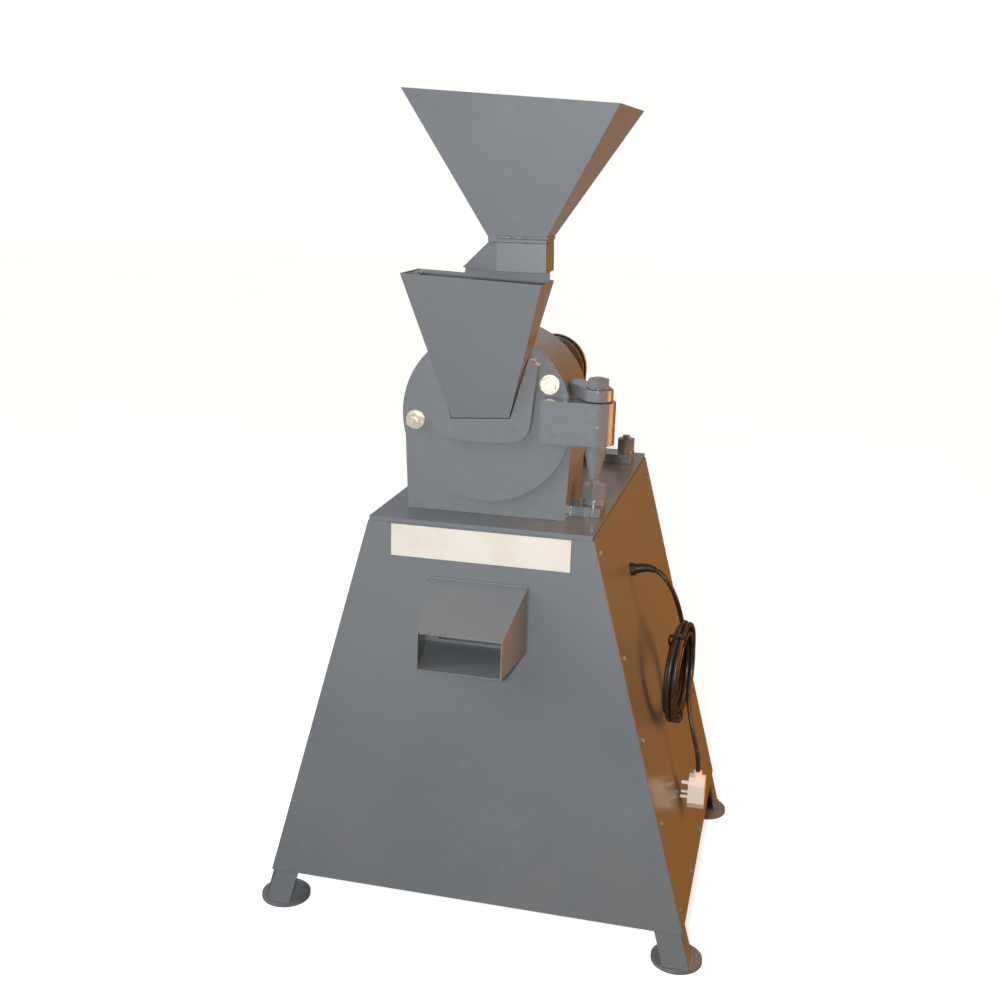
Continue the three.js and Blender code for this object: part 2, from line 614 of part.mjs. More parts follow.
// Hinge pin with a tapered foot that the barrel stands on.
function hingePin() {
  return turnedZ([
    [0, 702], [7, 702], [14, 738], [14, LUG_BOTTOM - GAP], [7.8, LUG_BOTTOM - GAP],
    [7.8, BRACKET_TOP + 14], [0, BRACKET_TOP + 14],
  ], HINGE_X, HINGE_Y);
}

function hingeNut() {
  const base = BRACKET_TOP + GAP;
  return cut(
    join(barZ(16, base, base + 2, HINGE_X, HINGE_Y), barZ(14.5, base + 2, base + 12, HINGE_X, HINGE_Y, 6)),
    barZ(8.3, base - 5, base + 20, HINGE_X, HINGE_Y)
  );
}

// Captive closing bolt: hexagon head, washer, and a short reach into the housing.
function closingBolt(angle) {
  const [x, z] = closingCentre(angle);
  const washerBack = DOOR_FRONT - GAP;
  const washer = barY(13, washerBack - 2.2, washerBack, x, z, 24);
  const head = barY(11, washerBack - 12, washerBack - 2.2, x, z, 6);
  const stud = barY(5.5, washerBack - 15, DOOR_BACK + 9, x, z, 16);
  return join(washer, head, stud);
}

add('door', door(), castGrey);
add('hinge_bracket', hingeBracket(), castGrey);
add('hinge_pin', hingePin(), castGrey);
add('hinge_nut', hingeNut(), brightSteel);
for (const [side, angle] of Object.entries(CLOSING_ANGLES)) {
  add(`closing_bolt_${side}`, closingBolt(angle), yellowZinc);
}

// ---------------------------------------------------------------- hoppers
// Feed tray on the door: sloping front and sides, closed bottom, a back open to the throat,
// and a tab that the upper hopper's chute is fixed to.
function feedTray() {
  const back = DOOR_FRONT - GAP;
  const outer = trayWedge(TRAY_BOTTOM, TRAY_TOP, 0, back);
  const hollow = trayWedge(TRAY_BOTTOM + SHEET, TRAY_TOP + 10, -SHEET, back - SHEET);
  const window = block(THROAT_X - 36, THROAT_X + 36, back - 8, back + 5, TRAY_BOTTOM + 9, 848);
  const tab = extrudeY(
    polygon([[-40, 940], [74, 940], [74, CHUTE_TOP - 4], [6, CHUTE_TOP - 4], [-38, 967]]), back - SHEET, back
  );
  return join(cut(outer, hollow, window), tab);
}

function hopperChute() {
  const back = DOOR_FRONT - 2 * GAP - SHEET;
  const top = [[16, -262], [78, -262], [78, back], [4, back], [4, -257]];
  const bottom = [[16, -262], [79, -262], [79, back], [-38, back], [-38, -226]];
  return duct([
    { outline: bottom, place: flatRing(CHUTE_BOTTOM) },
    { outline: top, place: flatRing(CHUTE_TOP) },
  ]);
}

function upperHopper() {
  const back = DOOR_FRONT - 2 * GAP - SHEET;
  const neck = box2(4, 78, -262, back);
  return duct([
    { outline: neck, place: flatRing(CHUTE_TOP + GAP) },
    { outline: neck, place: flatRing(NECK_Z) },
    { outline: box2(-98, 168, -302, -96), place: ([x, y]) => [x, y, HOPPER_TOP + HOPPER_TILT * (x - 35)] },
  ]);
}

add('feed_tray', feedTray(), greyEnamel);
add('hopper_chute', hopperChute(), greyEnamel);
add('upper_hopper', upperHopper(), greyEnamel);

// ---------------------------------------------------------------- motor
const MOTOR = { front: -20, back: 168, fins: 30, base: 82, tip: 91 };

function motorCasing() {
  const shape = new THREE.Shape();
  for (let i = 0; i < MOTOR.fins; i += 1) {
    const start = (i / MOTOR.fins) * Math.PI * 2;
    const pitch = (Math.PI * 2) / MOTOR.fins;
    for (const [r, share] of [[MOTOR.base, 0], [MOTOR.base, 0.6], [MOTOR.tip, 0.65], [MOTOR.tip, 0.95]]) {
      const angle = start + pitch * share;
      const [x, z] = [MILL_X + r * Math.cos(angle), MOTOR_Z + r * Math.sin(angle)];
      if (i + share === 0) shape.moveTo(x, z);
      else shape.lineTo(x, z);
    }
  }
  shape.closePath();
  const barrel = extrudeY(shape, MOTOR.front, MOTOR.back);
  const noFins = block(MILL_X - 95, MILL_X + 95, MOTOR.front - 5, MOTOR.back + 5, MOTOR_Z - 95, MOTOR_Z - 68);
  const foot = (side) =>
    block(
      MILL_X + side * 62 - 18, MILL_X + side * 62 + 18, MOTOR.front + 25, MOTOR.back - 25,
      SHELF_TOP + GAP, MOTOR_Z - 55
    );
  const shaftHole = barY(MOTOR_SHAFT_RADIUS + 1, MOTOR.front - 5, MOTOR.back + 5, MILL_X, MOTOR_Z, 24);
  return cut(join(cut(barrel, noFins), foot(-1), foot(1)), shaftHole);
}

function motorFan() {
  const hub = turnedY([
    [MOTOR_SHAFT_RADIUS + GAP, -58], [24, -58], [24, -50], [60, -34], [60, -31], [MOTOR_SHAFT_RADIUS + GAP, -31],
    [MOTOR_SHAFT_RADIUS + GAP, -58],
  ], MILL_X, MOTOR_Z, 24);
  const blades = [0, 1, 2, 3, 4, 5].map((k) =>
    block(-1.5, 1.5, -57, -32, 20, 62).rotateY((k * Math.PI) / 3).translate(MILL_X, 0, MOTOR_Z)
  );
  return join(hub, ...blades);
}

function motorFanCover() {
  const [front, back] = [-74, MOTOR.front - GAP];
  return turnedY([
    [20, front], [70, front], [84, front + 12], [84, back], [81.5, back], [81.5, front + 13.5],
    [69, front + 2.5], [20, front + 2.5], [20, front],
  ], MILL_X, MOTOR_Z, 24);
}

function motorShaft() {
  return barY(MOTOR_SHAFT_RADIUS, -60, REAR - SHEET - 6, MILL_X, MOTOR_Z, 24);
}

add('motor_casing', motorCasing(), motorPaint);
add('motor_fan', motorFan(), cordPlastic);
add('motor_fan_cover', motorFanCover(), motorPaint);
add(
  'motor_terminal_box',
  block(MILL_X - 45, MILL_X + 45, 30, 120, MOTOR_Z + MOTOR.tip + GAP, MOTOR_Z + MOTOR.tip + 42),
  motorPaint
);
add('motor_shaft', motorShaft(), brightSteel);
add('motor_pulley', pulley(MOTOR_PULLEY_RADIUS, MOTOR_SHAFT_RADIUS + GAP, MOTOR_Z), darkSteel);

// ---------------------------------------------------------------- cable, coil and plug
const panelLean = Math.atan(SPLAY);
const exitPoint = new THREE.Vector3(halfWidthAt(EXIT_Z), EXIT_Y, EXIT_Z);

// Cable gland, square to the sloping right panel.
function cableGland() {
  const gland = new THREE.LatheGeometry(
    [[0, -8], [7.5, -8], [7.5, GAP], [9.5, GAP], [9.5, 5], [7, 7], [5.5, 10.4], [0, 10.4]].map(
      ([r, along]) => new THREE.Vector2(r, along)
    ),
    16
  );
  return gland.rotateZ(-Math.PI / 2).rotateY(-panelLean).translate(...exitPoint.toArray());
}

// A cable along hand-set points.
function cable(points) {
  const path = new THREE.CatmullRomCurve3(points.map((p) => new THREE.Vector3(...p)));
  const section = new THREE.Shape();
  const sides = 8;
  for (let i = 0; i < sides; i += 1) {
    const angle = (i / sides) * Math.PI * 2;
    const [u, v] = [(CORD_DIAMETER / 2) * Math.cos(angle), (CORD_DIAMETER / 2) * Math.sin(angle)];
    if (i === 0) section.moveTo(u, v);
    else section.lineTo(u, v);
  }
  section.closePath();
  const steps = Math.ceil(path.getLength() / (CORD_DIAMETER * 1.2));
  return new THREE.ExtrudeGeometry(section, { steps, extrudePath: path, bevelEnabled: false });
}

// The cable leaves the gland square to the panel and turns down into the coil's rear.
const LEAD = [
  [191.6, -60, 535], [204.1, -61.7, 536.9], [215.4, -65.4, 535.2], [225.5, -69.3, 529.8],
  [234.4, -71.4, 520.4], [242.1, -69.7, 506.8], [248.5, -62.3, 488.8], [253.8, -46.4, 465.1],
];
const TAIL = [
  [281.3, -59.9, 309.1], [285.5, -64.4, 295.9], [290.1, -67.4, 281.8], [294.1, -69.1, 267],
  [296.9, -69.8, 250.8], [298, -70, 233],
];
const PLUG = { x0: 286, x1: 310, y: -70, half: 17, z0: 175, z1: 224 };

// Hanging coil of the spare cable, one ring of its outer shape, its axis near enough along X.
function cordCoil() {
  const { inner, outer, width } = COIL;
  const w = width / 2;
  const bevel = 6;
  const points = [
    [inner, -w + bevel], [inner + bevel, -w], [outer - bevel, -w], [outer, -w + bevel],
    [outer, w - bevel], [outer - bevel, w], [inner + bevel, w], [inner, w - bevel], [inner, -w + bevel],
  ].map(([r, along]) => new THREE.Vector2(r, along));
  const ring = new THREE.LatheGeometry(points, 28).rotateZ(-Math.PI / 2);
  return ring.rotateZ(COIL.turn).translate(COIL.x, COIL.y, COIL.z);
}

// Three-pin plug: chamfered body, cable entry on top and pins towards the panel.
function plug() {
  const { x0, x1, y, half, z0, z1 } = PLUG;
  const outline = polygon([
    [y - half, z0 + 12], [y - half + 10, z0], [y + half - 10, z0], [y + half, z0 + 12],
    [y + half, z1 - 9], [y + half - 10, z1], [y - half + 10, z1], [y - half, z1 - 9],
  ]);
  const body = extrudeX(outline, x0, x1);
  const entry = barZ(6.5, z1 - 3, z1 + 8, 298, y, 16);
  const pin = (py, z, r) => {
    const bar = new THREE.CylinderGeometry(r, r, 14, 12).rotateZ(Math.PI / 2);
    return bar.translate(x0 - 4, y + py, z);
  };
  return join(body, entry, pin(0, z1 - 13, 2.8), pin(-8, z0 + 17, 2.2), pin(8, z0 + 17, 2.2));
}

add('cable_gland', cableGland(), cordPlastic);
add('cord_lead', cable(LEAD), cordPlastic);
add('cord_coil', cordCoil(), cordPlastic);
add('cord_tail', cable(TAIL), cordPlastic);
add('plug', plug(), plugPlastic);

export default machine;
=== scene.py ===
"""Finishes the laboratory hammer mill: paint, castings, hardware, mains cable and a pale studio."""

import json
import math
import bmesh  # noqa: E402
import bpy  # noqa: E402
from bpy.props import FloatProperty, FloatVectorProperty, PointerProperty  # noqa: E402
from mathutils import Matrix, Vector  # noqa: E402

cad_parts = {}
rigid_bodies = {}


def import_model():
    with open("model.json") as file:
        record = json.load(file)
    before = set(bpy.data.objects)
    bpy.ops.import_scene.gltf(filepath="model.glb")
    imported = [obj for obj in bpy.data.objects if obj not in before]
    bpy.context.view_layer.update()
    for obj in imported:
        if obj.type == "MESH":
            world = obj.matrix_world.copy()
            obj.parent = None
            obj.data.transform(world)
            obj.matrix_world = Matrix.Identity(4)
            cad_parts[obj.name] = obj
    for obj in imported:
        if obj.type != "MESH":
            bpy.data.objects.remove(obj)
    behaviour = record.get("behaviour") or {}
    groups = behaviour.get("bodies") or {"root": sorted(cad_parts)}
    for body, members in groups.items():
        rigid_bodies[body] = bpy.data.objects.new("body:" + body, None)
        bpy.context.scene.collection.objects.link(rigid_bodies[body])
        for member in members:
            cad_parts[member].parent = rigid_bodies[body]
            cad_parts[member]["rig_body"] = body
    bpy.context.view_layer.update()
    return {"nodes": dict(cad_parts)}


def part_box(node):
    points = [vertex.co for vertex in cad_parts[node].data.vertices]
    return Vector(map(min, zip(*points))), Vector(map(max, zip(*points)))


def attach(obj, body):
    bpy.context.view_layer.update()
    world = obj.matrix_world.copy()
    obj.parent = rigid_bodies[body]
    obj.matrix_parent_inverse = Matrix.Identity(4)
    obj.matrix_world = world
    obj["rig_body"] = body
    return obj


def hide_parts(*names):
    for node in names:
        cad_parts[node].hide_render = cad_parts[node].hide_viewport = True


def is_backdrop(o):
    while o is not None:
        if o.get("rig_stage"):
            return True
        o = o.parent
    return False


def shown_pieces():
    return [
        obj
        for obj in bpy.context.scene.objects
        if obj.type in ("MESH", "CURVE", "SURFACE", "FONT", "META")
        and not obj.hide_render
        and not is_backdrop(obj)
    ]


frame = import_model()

bl_info = {
    "name": "Hammer mill finish",
    "version": (1, 0, 0),
    "blender": (4, 5, 0),
    "location": "3D View > Sidebar > Mill",
    "description": "Paints and details a laboratory hammer mill around its solid model",
    "category": "Object",
}

MM = 0.001

# ------------------------------------------------------------------ places taken from the solids
PLATE_LOW, PLATE_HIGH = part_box("top_plate")
STAND_Y = (PLATE_LOW.y + PLATE_HIGH.y) / 2
STAND_TOP = PLATE_HIGH.z
PANEL_LOW, PANEL_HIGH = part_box("front_panel")
ROTOR_LOW, ROTOR_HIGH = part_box("rotor_disc_front")
MILL_X = (ROTOR_LOW.x + ROTOR_HIGH.x) / 2
MILL_Z = (ROTOR_LOW.z + ROTOR_HIGH.z) / 2
MOTOR_LOW, MOTOR_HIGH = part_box("motor_shaft")
MOTOR_Z = (MOTOR_LOW.z + MOTOR_HIGH.z) / 2
SPLAY = (PANEL_HIGH.x - PLATE_HIGH.x) / (PLATE_HIGH.z - PANEL_LOW.z)
COIL_LOW, COIL_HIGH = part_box("cord_coil")
COIL_CENTRE = (COIL_LOW + COIL_HIGH) / 2
TOP_HEIGHT = 635  # of the top plate in the drawing, mm
DATUM = STAND_TOP - TOP_HEIGHT * MM


def stand(x, y, z):
    """A place in the drawing, millimetres from the middle of the stand, as metres in the row frame."""
    return Vector((x * MM, y * MM + STAND_Y, z * MM + DATUM))


def on_panel(side, y, z):
    """A place on the outer face of a side panel, and that face's outward direction."""
    x = PLATE_HIGH.x / MM + (TOP_HEIGHT - z) * SPLAY
    return stand(side * x, y, z), Vector((side, 0, SPLAY)).normalized()


# ------------------------------------------------------------------ small helpers
def linear(colour):
    """sRGB hex to a linear colour with alpha."""
    channels = [int(colour[i : i + 2], 16) / 255 for i in (1, 3, 5)]
    return [c / 12.92 if c <= 0.04045 else ((c + 0.055) / 1.055) ** 2.4 for c in channels] + [1.0]


def add(tree, kind, links=None, **settings):
    """Adds a node. links maps an input's name or number to a value, or to the output that feeds it."""
    made = tree.nodes.new(kind)
    for name, value in settings.items():
        setattr(made, name, value)
    for key, value in (links or {}).items():
        if isinstance(value, bpy.types.NodeSocket):
            tree.links.new(value, made.inputs[key])
        else:
            made.inputs[key].default_value = value
    return made


def new_material(name, metallic=0.0, **surface):
    """An empty material with one surface shader. surface holds the shader's constant inputs."""
    material = bpy.data.materials.new(name)
    material.use_nodes = True
    tree = material.node_tree
    tree.nodes.clear()
    shader = add(tree, "ShaderNodeBsdfPrincipled", {"Metallic": metallic})
    for key, value in surface.items():
        shader.inputs[key.replace("_", " ")].default_value = value
    output = add(tree, "ShaderNodeOutputMaterial", {"Surface": shader.outputs[0]})
    output.target = "ALL"
    place = add(tree, "ShaderNodeTexCoord").outputs["Object"]
    return material, tree, shader, place


def noise(tree, place, grain_mm, detail=3.0, roughness=0.5):
    """Noise whose blobs are grain_mm across."""
    links = {"Vector": place, "Scale": 1 / (grain_mm * MM), "Detail": detail, "Roughness": roughness}
    return add(tree, "ShaderNodeTexNoise", links).outputs["Fac"]


def ramp(tree, value, low, high):
    """0 below low, 1 above high, smooth between."""
    links = {"Value": value, "From Min": low, "From Max": high}
    return add(tree, "ShaderNodeMapRange", links, interpolation_type="SMOOTHSTEP").outputs[0]


def spread(tree, value, low, high):
    """Stretches 0..1 to low..high."""
    return add(tree, "ShaderNodeMapRange", {"Value": value, "To Min": low, "To Max": high}).outputs[0]


def times(tree, a, b):
    """Multiplies two values."""
    return add(tree, "ShaderNodeMath", {0: a, 1: b}, operation="MULTIPLY").outputs[0]


def blend_colours(tree, factor, a, b):
    """Mixes two colours by a factor."""
    made = add(tree, "ShaderNodeMix", {0: factor}, data_type="RGBA")
    for socket, value in ((made.inputs[6], a), (made.inputs[7], b)):
        if isinstance(value, bpy.types.NodeSocket):
            tree.links.new(value, socket)
        else:
            socket.default_value = value
    return made.outputs[2]


def bump(tree, height, depth_mm, under=None):
    """A bump depth_mm deep, on top of another one if given."""
    links = {"Height": height, "Distance": depth_mm * MM, "Strength": 1.0}
    if under is not None:
        links["Normal"] = under
    return add(tree, "ShaderNodeBump", links).outputs["Normal"]


# ------------------------------------------------------------------ materials
def gloss_enamel_on_sheet_steel(colour):
    """Brushed-on blue-grey enamel over folded sheet: glossy, slightly wavy, a little dust, worn at the folds."""
    material, tree, shader, place = new_material("gloss enamel on sheet steel", Coat_Weight=0.25, Coat_Roughness=0.12)
    base = [*colour, 1.0]
    cool = [c * f for c, f in zip(base, (0.94, 0.97, 1.0, 1.0))]
    warm = [c * f for c, f in zip(base, (1.06, 1.04, 1.02, 1.0))]
    cloud = noise(tree, place, 240, 4.0)
    paint = blend_colours(tree, ramp(tree, cloud, 0.3, 0.7), cool, warm)
    smear = ramp(tree, noise(tree, place, 34, 6.0, 0.65), 0.56, 0.78)
    paint = blend_colours(tree, spread(tree, smear, 0.0, 0.1), paint, linear("#a19c92"))
    worn = add(tree, "ShaderNodeAttribute", attribute_name="worn").outputs["Fac"]
    chips = times(tree, worn, ramp(tree, noise(tree, place, 5, 5.0, 0.7), 0.56, 0.62))
    paint = blend_colours(tree, chips, paint, linear("#4a453f"))
    tree.links.new(paint, shader.inputs["Base Color"])
    tree.links.new(spread(tree, noise(tree, place, 20, 4.0), 0.24, 0.4), shader.inputs["Roughness"])
    waves = bump(tree, noise(tree, place, 85, 1.0), 0.8)
    peel = bump(tree, noise(tree, place, 3.2, 2.0), 0.035, waves)
    tree.links.new(peel, shader.inputs["Normal"])
    return material


def gloss_enamel_on_cast_iron(colour):
    """The same enamel over rough sand castings: the sand's lumps show through as broken highlights."""
    material, tree, shader, place = new_material("gloss enamel on cast iron", Coat_Weight=0.6, Coat_Roughness=0.08)
    base = [*colour, 1.0]
    pale = [min(1.0, c * 1.06) for c in base]
    lumps = noise(tree, place, 9, 5.0, 0.62)
    paint = blend_colours(tree, ramp(tree, lumps, 0.35, 0.75), base, pale)
    dirt = ramp(tree, noise(tree, place, 26, 5.0, 0.6), 0.58, 0.74)
    paint = blend_colours(tree, spread(tree, dirt, 0.0, 0.16), paint, linear("#5d5750"))
    worn = add(tree, "ShaderNodeAttribute", attribute_name="worn").outputs["Fac"]
    chips = times(tree, worn, ramp(tree, noise(tree, place, 4, 5.0, 0.7), 0.55, 0.62))
    paint = blend_colours(tree, chips, paint, linear("#4b443d"))
    tree.links.new(paint, shader.inputs["Base Color"])
    tree.links.new(spread(tree, noise(tree, place, 7, 4.0), 0.1, 0.32), shader.inputs["Roughness"])
    sand = bump(tree, noise(tree, place, 13, 3.0, 0.55), 1.3)
    grain = bump(tree, noise(tree, place, 2.2, 3.0), 0.08, sand)
    tree.links.new(grain, shader.inputs["Normal"])
    return material


def turned_steel(name, colour, centre, rough):
    """Lathe-turned steel: fine rings round its axis, which runs front to back through centre."""
    material, tree, shader, place = new_material(name, metallic=1.0)
    local = add(tree, "ShaderNodeMapping", {"Vector": place, "Location": (-centre[0], 0, -centre[1])}).outputs[0]
    # Cutter marks are 0.1 mm apart on the real part and 1.2 mm here, so that they show.
    ring_links = {"Vector": local, "Scale": 1 / (1.2 * MM) / 20, "Distortion": 0.4, "Detail": 2.0}
    rings = add(tree, "ShaderNodeTexWave", ring_links, wave_type="RINGS", rings_direction="Y").outputs["Fac"]
    stain = ramp(tree, noise(tree, place, 16, 5.0, 0.6), 0.42, 0.75)
    base = linear(colour)
    dull = [c * 0.62 for c in base[:3]] + [1.0]
    tree.links.new(blend_colours(tree, stain, base, dull), shader.inputs["Base Color"])
    tree.links.new(spread(tree, rings, rough, rough + 0.14), shader.inputs["Roughness"])
    tree.links.new(bump(tree, rings, 0.02), shader.inputs["Normal"])
    return material


def mild_steel(name, colour, rough):
    """Plain mill-finish steel: patchy grey oxide with a little oil."""
    material, tree, shader, place = new_material(name, metallic=1.0)
    patches = noise(tree, place, 12, 6.0, 0.62)
    base = linear(colour)
    dark = [c * 0.5 for c in base[:3]] + [1.0]
    tree.links.new(blend_colours(tree, ramp(tree, patches, 0.4, 0.72), base, dark), shader.inputs["Base Color"])
    tree.links.new(spread(tree, patches, rough - 0.08, rough + 0.2), shader.inputs["Roughness"])
    tree.links.new(bump(tree, noise(tree, place, 1.4, 3.0), 0.03), shader.inputs["Normal"])
    return material


def yellow_passivated_zinc():
    """Zinc plating with a yellow chromate: pale straw with faint darker gold bands, bright on its flats."""
    material, tree, shader, place = new_material("yellow passivated zinc", metallic=1.0)
    film = noise(tree, place, 6, 3.0)
    straw = blend_colours(tree, ramp(tree, film, 0.35, 0.6), linear("#f6ead0"), linear("#fff6e6"))
    paint = blend_colours(tree, ramp(tree, film, 0.6, 0.75), straw, linear("#d9c07e"))
    tree.links.new(paint, shader.inputs["Base Color"])
    tree.links.new(spread(tree, noise(tree, place, 3, 4.0), 0.25, 0.45), shader.inputs["Roughness"])
    tree.links.new(bump(tree, noise(tree, place, 0.9, 2.0), 0.015), shader.inputs["Normal"])
    return material


def moulded_rubber(name, colour):
    """Moulded black rubber and fabric of a V-belt: matt, dusty."""
    material, tree, shader, place = new_material(name)
    dust = ramp(tree, noise(tree, place, 14, 6.0, 0.6), 0.45, 0.8)
    tree.links.new(blend_colours(tree, dust, linear(colour), linear("#4b4741")), shader.inputs["Base Color"])
    tree.links.new(spread(tree, dust, 0.62, 0.85), shader.inputs["Roughness"])
    tree.links.new(bump(tree, noise(tree, place, 1.1, 2.0), 0.05), shader.inputs["Normal"])
    return material


def soft_pvc(name, colour):
    """Extruded PVC cable sheath: smooth, half gloss, slightly scuffed and dusty."""
    material, tree, shader, place = new_material(name)
    scuff = ramp(tree, noise(tree, place, 9, 6.0, 0.7), 0.5, 0.8)
    tree.links.new(blend_colours(tree, scuff, linear(colour), linear("#5b5048")), shader.inputs["Base Color"])
    tree.links.new(spread(tree, noise(tree, place, 5, 4.0), 0.28, 0.5), shader.inputs["Roughness"])
    tree.links.new(bump(tree, noise(tree, place, 2.5, 2.0), 0.04), shader.inputs["Normal"])
    return material


def moulded_plastic(name, colour, rough):
    """Injection-moulded thermoplastic with a fine spark-eroded texture and a few grey marks."""
    material, tree, shader, place = new_material(name)
    marks = ramp(tree, noise(tree, place, 7, 6.0, 0.7), 0.62, 0.8)
    base = linear(colour)
    soiled = [c * 0.72 for c in base[:3]] + [1.0]
    tree.links.new(blend_colours(tree, marks, base, soiled), shader.inputs["Base Color"])
    tree.links.new(spread(tree, noise(tree, place, 3, 4.0), rough - 0.06, rough + 0.1), shader.inputs["Roughness"])
    tree.links.new(bump(tree, noise(tree, place, 0.7, 2.0), 0.02), shader.inputs["Normal"])
    return material


def spun_motor_enamel():
    """Factory air-dried enamel on a cast motor frame: even, dusty blue-grey."""
    material, tree, shader, place = new_material("air-dried motor enamel")
    dust = ramp(tree, noise(tree, place, 22, 5.0, 0.6), 0.45, 0.75)
    tree.links.new(blend_colours(tree, dust, linear("#4d5f6b"), linear("#7b7a73")), shader.inputs["Base Color"])
    tree.links.new(spread(tree, dust, 0.42, 0.68), shader.inputs["Roughness"])
    tree.links.new(bump(tree, noise(tree, place, 5, 3.0), 0.15), shader.inputs["Normal"])
    return material


def screen_printed_vinyl():
    """Blank cream label vinyl: satin, faintly yellowed and scuffed."""
    material, tree, shader, place = new_material("cream label vinyl")
    age = noise(tree, place, 40, 5.0, 0.6)
    tree.links.new(
        blend_colours(tree, ramp(tree, age, 0.35, 0.75), linear("#dad6cd"), linear("#d4cdc1")),
        shader.inputs["Base Color"],
    )
    tree.links.new(spread(tree, age, 0.34, 0.5), shader.inputs["Roughness"])
    tree.links.new(bump(tree, noise(tree, place, 12, 2.0), 0.05), shader.inputs["Normal"])
    return material


MATERIALS = {}


def make_materials(settings):
    """Fills the table of finishes, named for what they cover."""
    mill = (MILL_X, MILL_Z)
    MATERIALS.update(
        sheet=gloss_enamel_on_sheet_steel(settings.enamel),
        casting=gloss_enamel_on_cast_iron(settings.casting),
        shaft=turned_steel("turned bright steel", "#c9c5be", mill, 0.2),
        motor_shaft=turned_steel("turned motor steel", "#bdb9b2", (MILL_X, MOTOR_Z), 0.24),
        steel=mild_steel("mill-finish steel", "#8d8a86", 0.42),
        zinc=yellow_passivated_zinc(),
        belt=moulded_rubber("wrapped V-belt rubber", "#1c1b1a"),
        sheath=soft_pvc("PVC cable sheath", "#2c2522"),
        black=moulded_plastic("black nylon", "#1d1c1b", 0.5),
        plug=moulded_plastic("white urea plug moulding", "#f3f0e8", 0.3),
        motor=spun_motor_enamel(),
        label=screen_printed_vinyl(),
    )


# ------------------------------------------------------------------ mesh helpers
def finished(mesh, name, material, body, covers=()):
    """Makes a mesh a piece that rides on a body and stands for the solids it covers."""
    piece = bpy.data.objects.new(name, mesh)
    bpy.context.scene.collection.objects.link(piece)
    mesh.materials.clear()
    mesh.materials.append(MATERIALS[material])
    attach(piece, body)
    if covers:
        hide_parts(*covers)
    return piece


def smooth(mesh, angle=32):
    """Smooth shading, with edges sharper than the angle kept crisp."""
    for face in mesh.polygons:
        face.use_smooth = True
    mesh.set_sharp_from_angle(angle=math.radians(angle))


def body_of_node(node):
    """The rigid body that a solid belongs to."""
    return frame["nodes"][node]["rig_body"]


def rounded_copy(node, radius_mm, material, segments=2, angle=28):
    """Stands a copy of a solid in its place, with its sharp edges rounded and marked for worn paint."""
    shape = bmesh.new()
    shape.from_mesh(frame["nodes"][node].data)
    bmesh.ops.remove_doubles(shape, verts=shape.verts, dist=2e-5)
    bmesh.ops.dissolve_limit(shape, angle_limit=math.radians(0.4), verts=shape.verts, edges=shape.edges)
    sharp = [e for e in shape.edges if e.is_manifold and e.calc_face_angle(0.0) > math.radians(angle)]
    worn = shape.faces.layers.float.new("worn")
    rounded = bmesh.ops.bevel(
        shape, geom=sharp, offset=radius_mm * MM, segments=segments, profile=0.5, affect="EDGES", clamp_overlap=True
    )
    for face in rounded["faces"]:
        face[worn] = 1.0
    mesh = bpy.data.meshes.new(node + "_finish")
    shape.to_mesh(mesh)
    shape.free()
    smooth(mesh)
    piece = finished(mesh, node + "_finish", material, body_of_node(node), [node])
    flats = piece.modifiers.new("flats stay flat", "WEIGHTED_NORMAL")
    flats.keep_sharp = True
    return piece


def joined(parts, name):
    """One mesh out of several bmesh parts, which are freed."""
    whole = bpy.data.meshes.new(name)
    target = bmesh.new()
    for part in parts:
        piece = bpy.data.meshes.new("part")
        part.to_mesh(piece)
        part.free()
        target.from_mesh(piece)
        bpy.data.meshes.remove(piece)
    target.to_mesh(whole)
    target.free()
    return whole


def lathe(profile, axis_from, axis_to, sides=32):
    """A closed turned shape: profile is [(radius, along)] in metres from axis_from towards axis_to."""
    shape = bmesh.new()
    rings = []
    for radius, along in profile:
        if radius < 1e-9:
            rings.append([shape.verts.new((0, 0, along))])
            continue
        turns = [2 * math.pi * i / sides for i in range(sides)]
        rings.append([shape.verts.new((radius * math.cos(t), radius * math.sin(t), along)) for t in turns])
    for a, b in zip(rings, rings[1:]):
        for i in range(sides):
            j = (i + 1) % sides
            corners = [a[i % len(a)], a[j % len(a)], b[j % len(b)], b[i % len(b)]]
            unique = list(dict.fromkeys(corners))
            if len(unique) > 2:
                shape.faces.new(unique)
    bmesh.ops.recalc_face_normals(shape, faces=shape.faces)
    direction = (Vector(axis_to) - Vector(axis_from)).normalized()
    shape.transform(Matrix.Translation(axis_from) @ direction.to_track_quat("Z", "Y").to_matrix().to_4x4())
    return shape


# ------------------------------------------------------------------ cable, coil and plug
CORD = 7.0  # cable diameter, mm
EXIT = (-60, 532)  # the gland's place on the right panel, y and z, mm
COIL_TURN = math.radians(-5)
# The bundle: (turns wound so far, radius, place across the coil), mm.
LAYERS = ((0.0, 71.8, -8.0), (2.0, 64.4, 8.0), (4.5, 57.0, -10.0), (7.236, 57.0, 10.0))


def bezier(start, start_pull, end_pull, end, steps=36):
    """Points on a cubic curve that leaves start by start_pull and arrives at end by end_pull."""
    b, c = start + start_pull, end - end_pull
    points = []
    for i in range(steps + 1):
        t = i / steps
        u = 1 - t
        points.append(start * u**3 + b * (3 * u * u * t) + c * (3 * u * t * t) + end * t**3)
    return points


